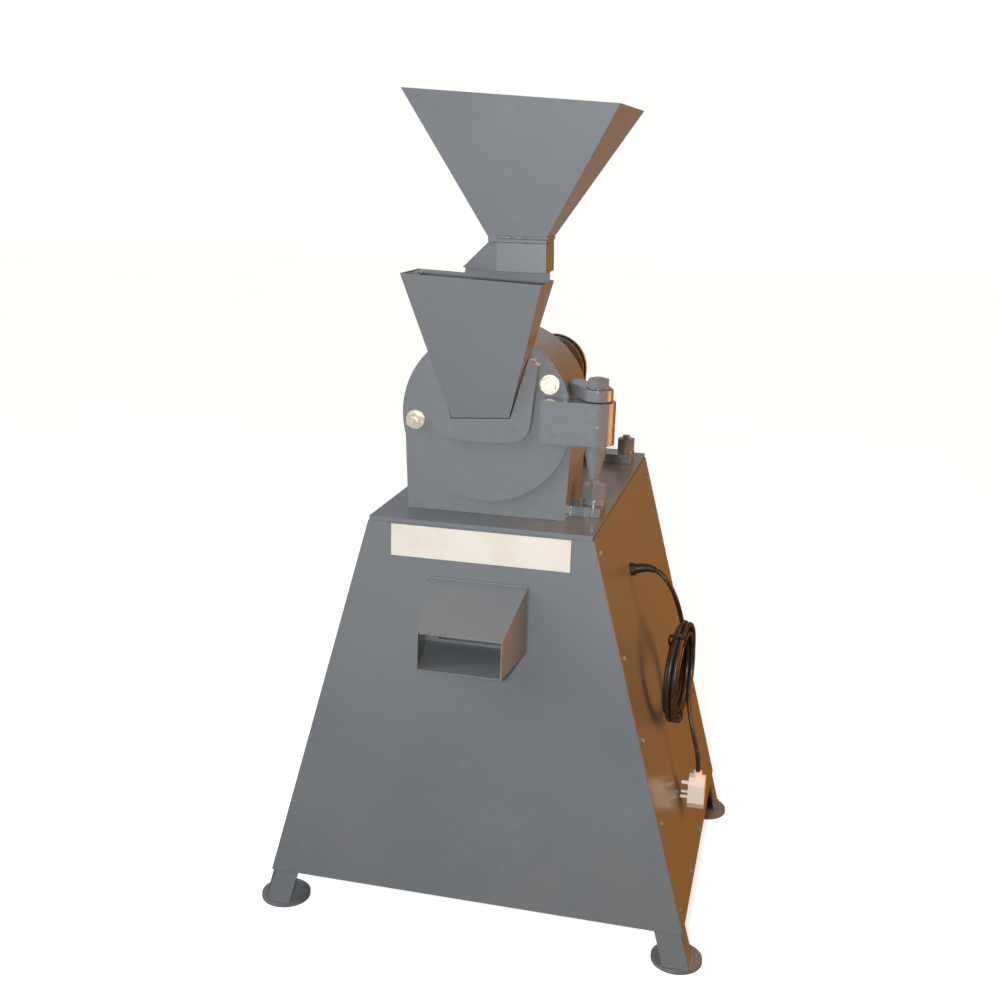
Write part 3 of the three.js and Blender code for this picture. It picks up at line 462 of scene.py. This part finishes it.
def coil_point(turns):
    """A place in the hanging coil after so many turns of it."""
    layer = 0
    while layer + 2 < len(LAYERS) and turns >= LAYERS[layer + 1][0]:
        layer += 1
    (t0, _, x0), (t1, _, x1) = LAYERS[layer], LAYERS[layer + 1]
    across = x0 + (x1 - x0) * (turns - t0) / (t1 - t0)
    radius = LAYERS[0][1]
    for begin, _, _ in LAYERS[1:3]:
        share = min(max((turns - begin + 0.2) / 0.4, 0), 1)
        radius -= 7.4 * share * share * (3 - 2 * share)
    angle = math.radians(45) - 2 * math.pi * turns
    flat = Vector((across, radius * math.cos(angle), radius * math.sin(angle))) * MM
    return COIL_CENTRE + Matrix.Rotation(COIL_TURN, 3, "Z") @ flat


def cable_route():
    """Centreline from the gland, round the hanging coil, down to the plug."""
    surface, outward = on_panel(1, *EXIT)
    last = LAYERS[-1][0]
    steps = 290
    coil = [coil_point(last * i / steps) for i in range(steps + 1)]
    into, out = (coil[1] - coil[0]).normalized(), (coil[-1] - coil[-2]).normalized()
    start, end = surface + outward * 0.0115, stand(298, -70, 231)
    lead = bezier(start, outward * 0.036, into * 0.112, coil[0])
    tail = bezier(coil[-1], out * 0.055, Vector((0, 0, -0.05)), end)
    return lead[:-1] + coil + tail[1:]


def wire_tie(degrees, across):
    """Three wraps of thin wire round the bundle, at an angle round the coil; across is its middle there, mm."""
    angle = math.radians(degrees)
    radial = Vector((0, math.cos(angle), math.sin(angle)))
    along = Vector((0, -math.sin(angle), math.cos(angle)))
    turn = Matrix.Rotation(COIL_TURN, 3, "Z")
    route = []
    for i in range(3 * 24 + 1):
        t = 2 * math.pi * i / 24
        # A squarish loop: the bundle is 22 mm deep and about as wide.
        c, w = math.cos(t), math.sin(t)
        squash = (abs(c) ** 4 + abs(w) ** 4) ** -0.25
        from_centre = radial * (64.4 + 12.1 * c * squash)
        place = from_centre + Vector((across + 12.0 * w * squash, 0, 0)) + along * (2.3 * i / 24 - 3.4)
        route.append(COIL_CENTRE + turn @ (place * MM))
    return tube(route, 0.9 * MM, 8)


def relief(route):
    """Tapered rubber sleeve over the cable's first stretch."""
    surface, outward = on_panel(1, *EXIT)
    path = [surface + outward * 0.004] + route[:10]
    return tube(path, 0, 20, [(7.2 - 0.28 * i) * MM for i in range(len(path))])


def tube(route, radius, sides=12, radii=None):
    """A closed tube along a route, without twist. radii gives each point its own radius."""
    shape = bmesh.new()
    tangents = []
    for i in range(len(route)):
        ahead, behind = route[min(i + 1, len(route) - 1)], route[max(i - 1, 0)]
        tangents.append((ahead - behind).normalized())
    normal = tangents[0].orthogonal().normalized()
    rings = []
    for place, (point, tangent) in enumerate(zip(route, tangents)):
        radius = radii[place] if radii else radius
        normal = (normal - tangent * normal.dot(tangent)).normalized()
        side = tangent.cross(normal)
        turns = [2 * math.pi * k / sides for k in range(sides)]
        ring = [point + (normal * math.cos(t) + side * math.sin(t)) * radius for t in turns]
        rings.append([shape.verts.new(p) for p in ring])
    for a, b in zip(rings, rings[1:]):
        for k in range(sides):
            shape.faces.new((a[k], a[(k + 1) % sides], b[(k + 1) % sides], b[k]))
    shape.faces.new(list(reversed(rings[0])))
    shape.faces.new(rings[-1])
    bmesh.ops.recalc_face_normals(shape, faces=shape.faces)
    return shape


class MILL_OT_mains_cable(bpy.types.Operator):
    """Makes the mains cable in its hanging coil, with its gland, tie and plug"""

    bl_idname = "mill.mains_cable"
    bl_label = "Mains cable"

    def execute(self, context):
        route = cable_route()
        mesh = joined([tube(route, CORD * MM / 2)], "mains_cable")
        smooth(mesh)
        solids = ["cord_lead", "cord_coil", "cord_tail"]
        cable = finished(mesh, "mains_cable", "sheath", "stand", solids)
        plug = rounded_copy("plug", 1.6, "plug", 3)
        gland = rounded_copy("cable_gland", 0.6, "black", 2)
        extras = joined([relief(route), wire_tie(118, -0.5), wire_tie(262, -2.1)], "cable_tie_and_sleeve")
        smooth(extras)
        ties = finished(extras, "cable_tie_and_sleeve", "black", "stand")
        return {"FINISHED"}


# ------------------------------------------------------------------ geometry-nodes repeats
def node_group(name, inputs):
    """An empty geometry-nodes group. inputs: name -> (socket type, default)."""
    group = bpy.data.node_groups.new(name, "GeometryNodeTree")
    group.interface.new_socket("Geometry", in_out="INPUT", socket_type="NodeSocketGeometry")
    group.interface.new_socket("Geometry", in_out="OUTPUT", socket_type="NodeSocketGeometry")
    for title, (kind, default) in inputs.items():
        socket = group.interface.new_socket(title, in_out="INPUT", socket_type=kind)
        if default is not None:
            socket.default_value = default
    return group, add(group, "NodeGroupInput"), add(group, "NodeGroupOutput")


def close_group(group, end, geometry, source):
    """Ends a group: real geometry with the finish that was asked for."""
    real = add(group, "GeometryNodeRealizeInstances", {0: geometry})
    painted = add(group, "GeometryNodeSetMaterial", {0: real.outputs[0], "Material": source.outputs["Finish"]})
    group.links.new(painted.outputs[0], end.inputs[0])


def weld_beads():
    """Overlapping weld ripples along the edges of a mesh."""
    group, source, end = node_group(
        "Weld beads",
        {
            "Pitch": ("NodeSocketFloat", 0.0022), "Width": ("NodeSocketFloat", 0.0026),
            "Seed": ("NodeSocketInt", 4), "Finish": ("NodeSocketMaterial", None),
        },
    )
    line = add(group, "GeometryNodeMeshToCurve", {0: source.outputs["Geometry"]})
    points = add(
        group, "GeometryNodeResampleCurve", {0: line.outputs[0], "Length": source.outputs["Pitch"]}, mode="LENGTH"
    )
    ripple = add(group, "GeometryNodeMeshUVSphere", {"Segments": 8, "Rings": 5, "Radius": source.outputs["Width"]})
    soft = add(group, "GeometryNodeSetShadeSmooth", {0: ripple.outputs[0]})
    size = add(
        group,
        "FunctionNodeRandomValue",
        {"Min": (0.62, 0.8, 0.8), "Max": (0.85, 1.08, 1.08), "Seed": source.outputs["Seed"]},
        data_type="FLOAT_VECTOR",
    )
    tangent = add(group, "GeometryNodeInputTangent").outputs[0]
    turned = add(group, "FunctionNodeAlignRotationToVector", {"Vector": tangent}, axis="X").outputs[0]
    laid = add(
        group, "GeometryNodeInstanceOnPoints",
        {"Points": points.outputs[0], "Instance": soft.outputs[0], "Rotation": turned, "Scale": size.outputs[0]},
    )
    close_group(group, end, laid.outputs[0], source)
    return group


def fastener_rows():
    """A screw head on each point of a mesh, facing along the point's outward attribute."""
    group, source, end = node_group(
        "Fastener rows",
        {
            "Head": ("NodeSocketObject", None), "Slot turn": ("NodeSocketFloat", 3.1), "Seed": ("NodeSocketInt", 7),
            "Finish": ("NodeSocketMaterial", None),
        },
    )
    head = add(group, "GeometryNodeObjectInfo", {"Object": source.outputs["Head"]})
    outward = add(group, "GeometryNodeInputNamedAttribute", {"Name": "outward"}, data_type="FLOAT_VECTOR")
    facing = add(group, "FunctionNodeAlignRotationToVector", {"Vector": outward.outputs[0]}, axis="Z").outputs[0]
    spin = add(
        group, "FunctionNodeRandomValue", {2: 0.0, 3: source.outputs["Slot turn"], "Seed": source.outputs["Seed"]},
        data_type="FLOAT",
    )
    axis = add(group, "ShaderNodeCombineXYZ", {"Z": spin.outputs[1]})
    rolled = add(
        group, "FunctionNodeRotateRotation",
        {0: facing, 1: add(group, "FunctionNodeEulerToRotation", {0: axis.outputs[0]}).outputs[0]},
        rotation_space="LOCAL",
    )
    laid = add(
        group, "GeometryNodeInstanceOnPoints",
        {"Points": source.outputs["Geometry"], "Instance": head.outputs["Geometry"], "Rotation": rolled.outputs[0]},
    )
    close_group(group, end, laid.outputs[0], source)
    return group


def perforated_arc():
    """A flat cell repeated over a sheet and bent round the rotor's axis."""
    group, source, end = node_group(
        "Perforated arc",
        {
            "Cell": ("NodeSocketObject", None), "Across": ("NodeSocketInt", 33), "Along": ("NodeSocketInt", 18),
            "Pitch": ("NodeSocketFloat", 0.005), "Radius": ("NodeSocketFloat", 0.0846),
            "Finish": ("NodeSocketMaterial", None),
        },
    )
    pitch = source.outputs["Pitch"]
    sizes = []
    for name in ("Across", "Along"):
        steps = add(group, "ShaderNodeMath", {0: source.outputs[name], 1: 1.0}, operation="SUBTRACT").outputs[0]
        sizes.append(add(group, "ShaderNodeMath", {0: steps, 1: pitch}, operation="MULTIPLY").outputs[0])
    grid = add(
        group, "GeometryNodeMeshGrid",
        {
            "Size X": sizes[0], "Size Y": sizes[1], "Vertices X": source.outputs["Across"],
            "Vertices Y": source.outputs["Along"],
        },
    )
    cell = add(group, "GeometryNodeObjectInfo", {"Object": source.outputs["Cell"]})
    laid = add(
        group, "GeometryNodeInstanceOnPoints", {"Points": grid.outputs[0], "Instance": cell.outputs["Geometry"]}
    )
    real = add(group, "GeometryNodeRealizeInstances", {0: laid.outputs[0]})
    welded = add(group, "GeometryNodeMergeByDistance", {0: real.outputs[0], "Distance": 0.00005})
    place = add(group, "GeometryNodeInputPosition").outputs[0]
    parts = add(group, "ShaderNodeSeparateXYZ", {0: place})
    radius = source.outputs["Radius"]
    angle = add(group, "ShaderNodeMath", {0: parts.outputs["X"], 1: radius}, operation="DIVIDE").outputs[0]
    reach = add(group, "ShaderNodeMath", {0: radius, 1: parts.outputs["Z"]}, operation="SUBTRACT").outputs[0]
    sine = add(group, "ShaderNodeMath", {0: angle}, operation="SINE").outputs[0]
    cosine = add(group, "ShaderNodeMath", {0: angle}, operation="COSINE").outputs[0]
    x = add(group, "ShaderNodeMath", {0: reach, 1: sine}, operation="MULTIPLY").outputs[0]
    drop = add(group, "ShaderNodeMath", {0: reach, 1: cosine}, operation="MULTIPLY").outputs[0]
    z = add(group, "ShaderNodeMath", {0: 0.0, 1: drop}, operation="SUBTRACT").outputs[0]
    bent = add(group, "ShaderNodeCombineXYZ", {"X": x, "Y": parts.outputs["Y"], "Z": z}).outputs[0]
    arc = add(group, "GeometryNodeSetPosition", {"Geometry": welded.outputs[0], "Position": bent})
    close_group(group, end, arc.outputs[0], source)
    return group


def evaluated(source, group, name, **values):
    """The plain mesh that a geometry-nodes group makes of a source mesh."""
    holder = bpy.data.objects.new(name + "_source", source)
    bpy.context.scene.collection.objects.link(holder)
    modifier = holder.modifiers.new(name, "NODES")
    modifier.node_group = group
    for item in group.interface.items_tree:
        if item.item_type == "SOCKET" and item.in_out == "INPUT" and item.name in values:
            modifier[item.identifier] = values[item.name]
    graph = bpy.context.evaluated_depsgraph_get()
    graph.update()
    mesh = bpy.data.meshes.new_from_object(
        holder.evaluated_get(graph), preserve_all_data_layers=True, depsgraph=graph
    )
    mesh.name = name
    bpy.data.objects.remove(holder)
    return mesh


class MILL_OT_screen(bpy.types.Operator):
    """Makes the perforated screen under the rotor"""

    bl_idname = "mill.screen"
    bl_label = "Perforated screen"

    def execute(self, context):
        low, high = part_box("screen")
        settings = context.scene.mill
        pitch = settings.screen_pitch * MM
        radius = MILL_Z - low.z
        arc = radius * math.radians(130)
        cell = self.cell(pitch, settings.screen_hole * MM / 2, 0.0012)
        values = {
            "Cell": cell, "Across": int(arc / pitch), "Along": int((high.y - low.y) / pitch), "Pitch": pitch,
            "Radius": radius, "Finish": MATERIALS["steel"],
        }
        mesh = evaluated(bpy.data.meshes.new("screen_seed"), perforated_arc(), "screen_finish", **values)
        mesh.transform(Matrix.Translation((MILL_X, (low.y + high.y) / 2, MILL_Z)))
        bpy.data.objects.remove(cell)
        smooth(mesh, 50)
        finished(mesh, "screen_finish", "steel", "stand", ["screen"])
        return {"FINISHED"}

    def cell(self, pitch, radius, thickness):
        """One square of sheet with a round hole through it, open at its four sides."""
        shape = bmesh.new()
        half = pitch / 2
        square = [
            (half, 0), (half, half), (0, half), (-half, half),
            (-half, 0), (-half, -half), (0, -half), (half, -half),
        ]
        rings = []
        for z in (0.0, thickness):
            edge = [shape.verts.new((x, y, z)) for x, y in square]
            turns = [2 * math.pi * i / 8 for i in range(8)]
            hole = [shape.verts.new((radius * math.cos(t), radius * math.sin(t), z)) for t in turns]
            rings.append((edge, hole))
            for i in range(8):
                j = (i + 1) % 8
                corners = (edge[i], edge[j], hole[j], hole[i])
                shape.faces.new(corners if z else tuple(reversed(corners)))
        (_, low), (_, high) = rings
        for i in range(8):
            j = (i + 1) % 8
            shape.faces.new((low[i], low[j], high[j], high[i]))
        mesh = bpy.data.meshes.new("cell")
        shape.to_mesh(mesh)
        shape.free()
        cell = bpy.data.objects.new("cell", mesh)
        bpy.context.scene.collection.objects.link(cell)
        return cell


class MILL_OT_welds(bpy.types.Operator):
    """Lays the weld beads of the stand, the spout, the feet and the hoppers"""

    bl_idname = "mill.welds"
    bl_label = "Weld beads"

    def execute(self, context):
        group = weld_beads()
        values = {"Width": context.scene.mill.weld_width * MM, "Finish": MATERIALS["sheet"]}
        for body, lines in (("stand", self.stand_lines()), ("door", self.door_lines())):
            mesh = bpy.data.meshes.new("lines")
            points = [p for line in lines for p in line]
            edges = []
            start = 0
            for line in lines:
                edges += [(start + i, start + i + 1) for i in range(len(line) - 1)]
                start += len(line)
            mesh.from_pydata([tuple(p) for p in points], edges, [])
            beads = evaluated(mesh, group, f"weld_beads_{body}", **values)
            finished(beads, f"weld_beads_{body}", "sheet", body)
        return {"FINISHED"}

    def stand_lines(self):
        """Where the stand's pieces are welded."""
        spout_low, spout_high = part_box("discharge_spout")
        face = PANEL_LOW.y
        x0, x1 = spout_low.x + 0.001, spout_high.x - 0.001
        top = spout_high.z - 0.0005
        bottom = stand(0, 0, 465).z
        half_depth, flange = 0.257, 0.036  # of the stand, and of a leg, metres
        lines = [
            [(x0, face - 0.0006, top), (x1, face - 0.0006, top)],
            [(x0, face - 0.0006, bottom), (x0, face - 0.0006, top)],
            [(x1, face - 0.0006, bottom), (x1, face - 0.0006, top)],
        ]
        for side in (-1, 1):
            for end in (-1, 1):
                # Round each leg where it stands on its foot disc.
                low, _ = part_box(f"leg_{'front' if end < 0 else 'rear'}_{'left' if side < 0 else 'right'}")
                x = side * (PLATE_HIGH.x + (TOP_HEIGHT - 22) * MM * SPLAY - 0.0032)
                y = STAND_Y + end * (half_depth - 0.0026)
                z = low.z + 0.0068
                lines.append([(x - side * flange, y, z), (x - side * 0.002, y, z)])
                lines.append([(x + side * 0.001, y - end * 0.002, z), (x + side * 0.001, y - end * 0.03, z)])
        return lines

    def door_lines(self):
        """Where the hoppers are welded."""
        front, left, right, foot = -262, 16, 78, 1010  # the upper hopper's collar in the drawing, mm
        y0 = stand(0, front, 0).y - 0.0004
        x0, x1 = stand(left, 0, 0).x, stand(right, 0, 0).x
        neck = stand(0, 0, foot).z
        return [
            [(x0, y0, neck), (x1, y0, neck)],
            [(x1 + 0.0004, y0 + 0.002, neck), (x1 + 0.0004, y0 + 0.045, neck)],
        ]


class MILL_OT_screws(bpy.types.Operator):
    """Puts the slotted screws in the stand's panels"""

    bl_idname = "mill.screws"
    bl_label = "Panel screws"

    def execute(self, context):
        head = self.head(context.scene.mill.screw_width * MM)
        places = []
        for side in (-1, 1):
            for y, heights in ((-234, (606, 463, 348, 227, 100)), (234, (600, 489, 360, 230, 100))):
                places += [on_panel(side, y, z) for z in heights]
            places += [on_panel(side, y, 88) for y in (-110, 20, 150)]
        for x in (-270, -135, 0, 135, 270):
            places.append((stand(x, 257, 90), Vector((0, 1, 0))))
        mesh = bpy.data.meshes.new("screw_places")
        mesh.from_pydata([tuple(p) for p, _ in places], [], [])
        outward = mesh.attributes.new("outward", "FLOAT_VECTOR", "POINT")
        for i, (_, direction) in enumerate(places):
            outward.data[i].vector = direction
        screws = evaluated(
            mesh, fastener_rows(), "panel_screws", **{"Head": head, "Finish": MATERIALS["sheet"]}
        )
        bpy.data.objects.remove(head)
        smooth(screws)
        finished(screws, "panel_screws", "sheet", "stand")
        return {"FINISHED"}

    def head(self, width):
        """Round-headed screw with a slot, its underside on the panel."""
        r = width / 2
        shape = lathe(
            [(0, -0.0006), (r, -0.0006), (r, 0.0006), (r * 0.86, 0.0017), (r * 0.55, 0.0024), (0, 0.0027)],
            (0, 0, 0), (0, 0, 1), 20,
        )
        for vert in shape.verts:
            if abs(vert.co.y) < r * 0.2 and vert.co.z > 0.001:
                vert.co.z -= 0.0009
        mesh = joined([shape], "screw_head")
        head = bpy.data.objects.new("screw_head", mesh)
        bpy.context.scene.collection.objects.link(head)
        return head


# ------------------------------------------------------------------ painted sheet and castings
SHEET_PIECES = {
    "top_plate": 1.2, "front_panel": 0.6, "rear_panel": 0.6, "left_panel": 0.6, "right_panel": 0.6,
    "leg_front_left": 1.0, "leg_rear_left": 1.0, "leg_front_right": 1.0, "leg_rear_right": 1.0, "motor_shelf": 1.0,
    "discharge_duct": 0.5, "discharge_spout": 0.6, "feed_tray": 0.6, "hopper_chute": 0.6, "upper_hopper": 0.6,
}
CAST_PIECES = {
    "mill_housing": 2.0, "bearing_housing": 2.0, "door": 1.5, "hinge_bracket": 2.5, "hinge_pin": 0.8,
}
HARDWARE = {
    "front_bearing": ("shaft", 0.8), "rear_bearing": ("shaft", 0.8),
    "rotor_shaft": ("shaft", 0.5), "rotor_disc_front": ("steel", 0.5), "rotor_disc_rear": ("steel", 0.5),
    "mill_pulley": ("shaft", 0.6), "drive_belt": ("belt", 0.5), "motor_casing": ("motor", 0.8),
    "motor_fan": ("black", 0.4), "motor_fan_cover": ("motor", 0.8), "motor_terminal_box": ("motor", 3.0),
    "motor_shaft": ("motor_shaft", 0.6), "motor_pulley": ("motor_shaft", 0.6), "hinge_nut": ("casting", 0.8),
    "closing_bolt_left": ("zinc", 0.7), "closing_bolt_right": ("zinc", 0.7), "label_plate": ("label", 0.2),
}
for end in ("front", "rear"):
    for side in ("left", "right"):
        HARDWARE[f"hold_down_bolt_{end}_{side}"] = ("casting", 1.2)
for number in range(1, 5):
    HARDWARE[f"hammer_pin_{number}"] = ("shaft", 0.5)
    HARDWARE[f"hammer_{number}_front"] = ("steel", 0.5)
    HARDWARE[f"hammer_{number}_rear"] = ("steel", 0.5)


class MILL_OT_sheet_metal(bpy.types.Operator):
    """Rounds and paints the stand, the spout and the hoppers"""

    bl_idname = "mill.sheet_metal"
    bl_label = "Sheet metal"

    def execute(self, context):
        for node, radius in SHEET_PIECES.items():
            rounded_copy(node, radius, "sheet")
        return {"FINISHED"}


class MILL_OT_castings(bpy.types.Operator):
    """Rounds and paints the castings"""

    bl_idname = "mill.castings"
    bl_label = "Castings"

    def execute(self, context):
        for node, radius in CAST_PIECES.items():
            rounded_copy(node, radius, "casting", 3)
        return {"FINISHED"}


class MILL_OT_hardware(bpy.types.Operator):
    """Finishes the rotor, the drive, the motor and the fasteners"""

    bl_idname = "mill.hardware"
    bl_label = "Drive and hardware"

    def execute(self, context):
        for node, (material, radius) in HARDWARE.items():
            rounded_copy(node, radius, material)
        return {"FINISHED"}


# ------------------------------------------------------------------ studio
def area_light(name, place, aim, width, height, power, colour):
    """A soft rectangular light that looks at aim."""
    lamp = bpy.data.lights.new(name, "AREA")
    lamp.shape = "RECTANGLE"
    lamp.size, lamp.size_y = width, height
    lamp.energy = power
    lamp.color = colour[:3]
    holder = bpy.data.objects.new(name, lamp)
    holder.location = place
    holder.rotation_euler = (Vector(aim) - Vector(place)).to_track_quat("-Z", "Y").to_euler()
    bpy.context.scene.collection.objects.link(holder)
    return holder


class MILL_OT_studio(bpy.types.Operator):
    """Makes the camera, the lights and the pale floor"""

    bl_idname = "mill.studio"
    bl_label = "Studio"

    def execute(self, context):
        settings = context.scene.mill
        self.camera(context, settings)
        self.floor()
        self.world(context.scene, settings)
        lit = bpy.data.collections.new("mill pieces")
        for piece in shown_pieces():
            lit.objects.link(piece)
        centre = Vector((0, 0, 0.6))
        area_light("front softbox", (-1.2, -2.6, 2.3), (0, 0, 0.8), 1.6, 1.6, settings.key_power, (1.0, 0.99, 0.985))
        flash_place = stand(*settings.camera_place) + Vector((-0.12, 0.1, -0.05))
        area_light("flash", flash_place, centre, 0.12, 0.08, settings.fill_power, (0.98, 0.99, 1.0))
        warm = area_light(
            "warm side softbox", (2.4, 0.5, 1.1), (0, 0.1, 0.6), 1.6, 2.2, settings.warm_power, linear("#ffa03c")
        )
        warm.light_linking.receiver_collection = lit
        sheen = area_light(
            "edge strip", (-2.0, -1.3, 1.7), (0, 0, 0.8), 0.25, 1.6, settings.strip_power, (1.0, 1.0, 1.0)
        )
        sheen.light_linking.receiver_collection = lit
        return {"FINISHED"}

    def camera(self, context, settings):
        azimuth, elevation, roll = (math.radians(a) for a in settings.camera_angles)
        back = Vector(
            (math.sin(azimuth) * math.cos(elevation), -math.cos(azimuth) * math.cos(elevation), math.sin(elevation))
        )
        right = Vector((math.cos(azimuth), math.sin(azimuth), 0))
        up = back.cross(right)
        x = right * math.cos(roll) + up * math.sin(roll)
        y = up * math.cos(roll) - right * math.sin(roll)
        lens = bpy.data.cameras.new("camera")
        lens.lens = settings.camera_lens
        lens.sensor_width = 36
        lens.clip_start, lens.clip_end = 0.05, 60
        holder = bpy.data.objects.new("camera", lens)
        place = stand(*settings.camera_place)
        holder.matrix_world = Matrix.Translation(place) @ Matrix((x, y, back)).transposed().to_4x4()
        context.scene.collection.objects.link(holder)
        context.scene.camera = holder

    def floor(self):
        mesh = bpy.data.meshes.new("floor")
        shape = bmesh.new()
        bmesh.ops.create_grid(shape, x_segments=2, y_segments=2, size=12)
        shape.to_mesh(mesh)
        shape.free()
        material, tree, shader, place = new_material("pale matt floor", Roughness=1.0, Specular_IOR_Level=0.0)
        tint = noise(tree, place, 900, 2.0)
        pale = blend_colours(tree, tint, linear("#fbfbf8"), linear("#f6f6f3"))
        tree.links.new(pale, shader.inputs["Base Color"])
        tree.links.new(pale, shader.inputs["Emission Color"])
        shader.inputs["Emission Strength"].default_value = 0.8
        mesh.materials.append(material)
        floor = bpy.data.objects.new("floor", mesh)
        floor.visible_diffuse = False
        floor.visible_glossy = False
        bpy.context.scene.collection.objects.link(floor)
        floor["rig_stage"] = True

    def world(self, scene, settings):
        world = bpy.data.worlds.new("studio")
        world.use_nodes = True
        tree = world.node_tree
        tree.nodes.clear()
        direction = add(tree, "ShaderNodeTexCoord").outputs["Generated"]
        across = add(tree, "ShaderNodeSeparateXYZ", {0: direction}).outputs["X"]
        warm = ramp(tree, across, -0.05, 0.3)
        room = blend_colours(tree, warm, linear("#f2f7ff"), linear("#bc7a36"))
        lit = add(tree, "ShaderNodeBackground", {"Color": room, "Strength": settings.sky_strength})
        seen = add(tree, "ShaderNodeBackground", {"Color": linear("#fffffd"), "Strength": 1.0})
        straight = add(tree, "ShaderNodeLightPath").outputs["Is Camera Ray"]
        mixed = add(tree, "ShaderNodeMixShader", {0: straight, 1: lit.outputs[0], 2: seen.outputs[0]})
        add(tree, "ShaderNodeOutputWorld", {"Surface": mixed.outputs[0]})
        scene.world = world
        scene.view_settings.view_transform = "Standard"


# ------------------------------------------------------------------ settings, panel and registration
class MillSettings(bpy.types.PropertyGroup):
    """Sizes and colours of the mill's finish"""

    enamel: FloatVectorProperty(
        name="Enamel", description="Colour of the painted sheet steel", subtype="COLOR", default=linear("#6e7376")[:3]
    )
    casting: FloatVectorProperty(
        name="Castings", description="Colour of the painted castings", subtype="COLOR", default=linear("#6f7477")[:3]
    )
    camera_place: FloatVectorProperty(
        name="Camera place", description="Camera place from the middle of the stand's floor, mm",
        default=(398.8, -1817.7, 1101.3),
    )
    camera_angles: FloatVectorProperty(
        name="Camera angles", description="Azimuth, elevation and roll, degrees", default=(13.37, 14.96, 1.64)
    )
    camera_lens: FloatProperty(
        name="Lens", description="Focal length on a 36 mm sensor, mm", default=45.7, min=10
    )
    key_power: FloatProperty(name="Front light", description="Front softbox", default=11, min=0, unit="POWER")
    strip_power: FloatProperty(
        name="Edge strip", description="Narrow light from the left", default=16, min=0, unit="POWER"
    )
    fill_power: FloatProperty(
        name="Flash", description="Small light beside the camera", default=20.5, min=0, unit="POWER"
    )
    warm_power: FloatProperty(
        name="Side light", description="Warm side softbox", default=78, min=0, unit="POWER"
    )
    screen_hole: FloatProperty(name="Screen hole", description="Hole across, mm", default=3.0, min=1, max=6)
    screen_pitch: FloatProperty(name="Screen pitch", description="Hole spacing, mm", default=5.0, min=2, max=12)
    weld_width: FloatProperty(
        name="Weld", description="Half the width of a weld bead, mm", default=2.4, min=1, max=5
    )
    screw_width: FloatProperty(name="Screws", description="Screw head across, mm", default=9.0, min=4, max=14)
    sky_strength: FloatProperty(
        name="Surroundings", description="Strength of the pale room", default=0.42, min=0
    )


STEPS = (
    "mill.mains_cable", "mill.sheet_metal", "mill.castings", "mill.hardware", "mill.screen", "mill.welds",
    "mill.screws", "mill.studio",
)


class MILL_PT_panel(bpy.types.Panel):
    """Lists the steps and settings of the mill's finish"""

    bl_label = "Hammer mill"
    bl_idname = "MILL_PT_panel"
    bl_space_type = "VIEW_3D"
    bl_region_type = "UI"
    bl_category = "Mill"

    def draw(self, context):
        for name in MillSettings.__annotations__:
            self.layout.prop(context.scene.mill, name)
        for step in STEPS:
            self.layout.operator(step)


CLASSES = (
    MillSettings,
    MILL_OT_studio,
    MILL_OT_mains_cable,
    MILL_OT_sheet_metal,
    MILL_OT_castings,
    MILL_OT_hardware,
    MILL_OT_screen,
    MILL_OT_welds,
    MILL_OT_screws,
    MILL_PT_panel,
)


def register():
    for cls in CLASSES:
        bpy.utils.register_class(cls)
    bpy.types.Scene.mill = PointerProperty(type=MillSettings)


def unregister():
    del bpy.types.Scene.mill
    for cls in reversed(CLASSES):
        bpy.utils.unregister_class(cls)


def main():
    register()
    make_materials(bpy.context.scene.mill)
    for step in STEPS:
        group, name = step.split(".")
        getattr(getattr(bpy.ops, group), name)()


if __name__ == "__main__":
    main()
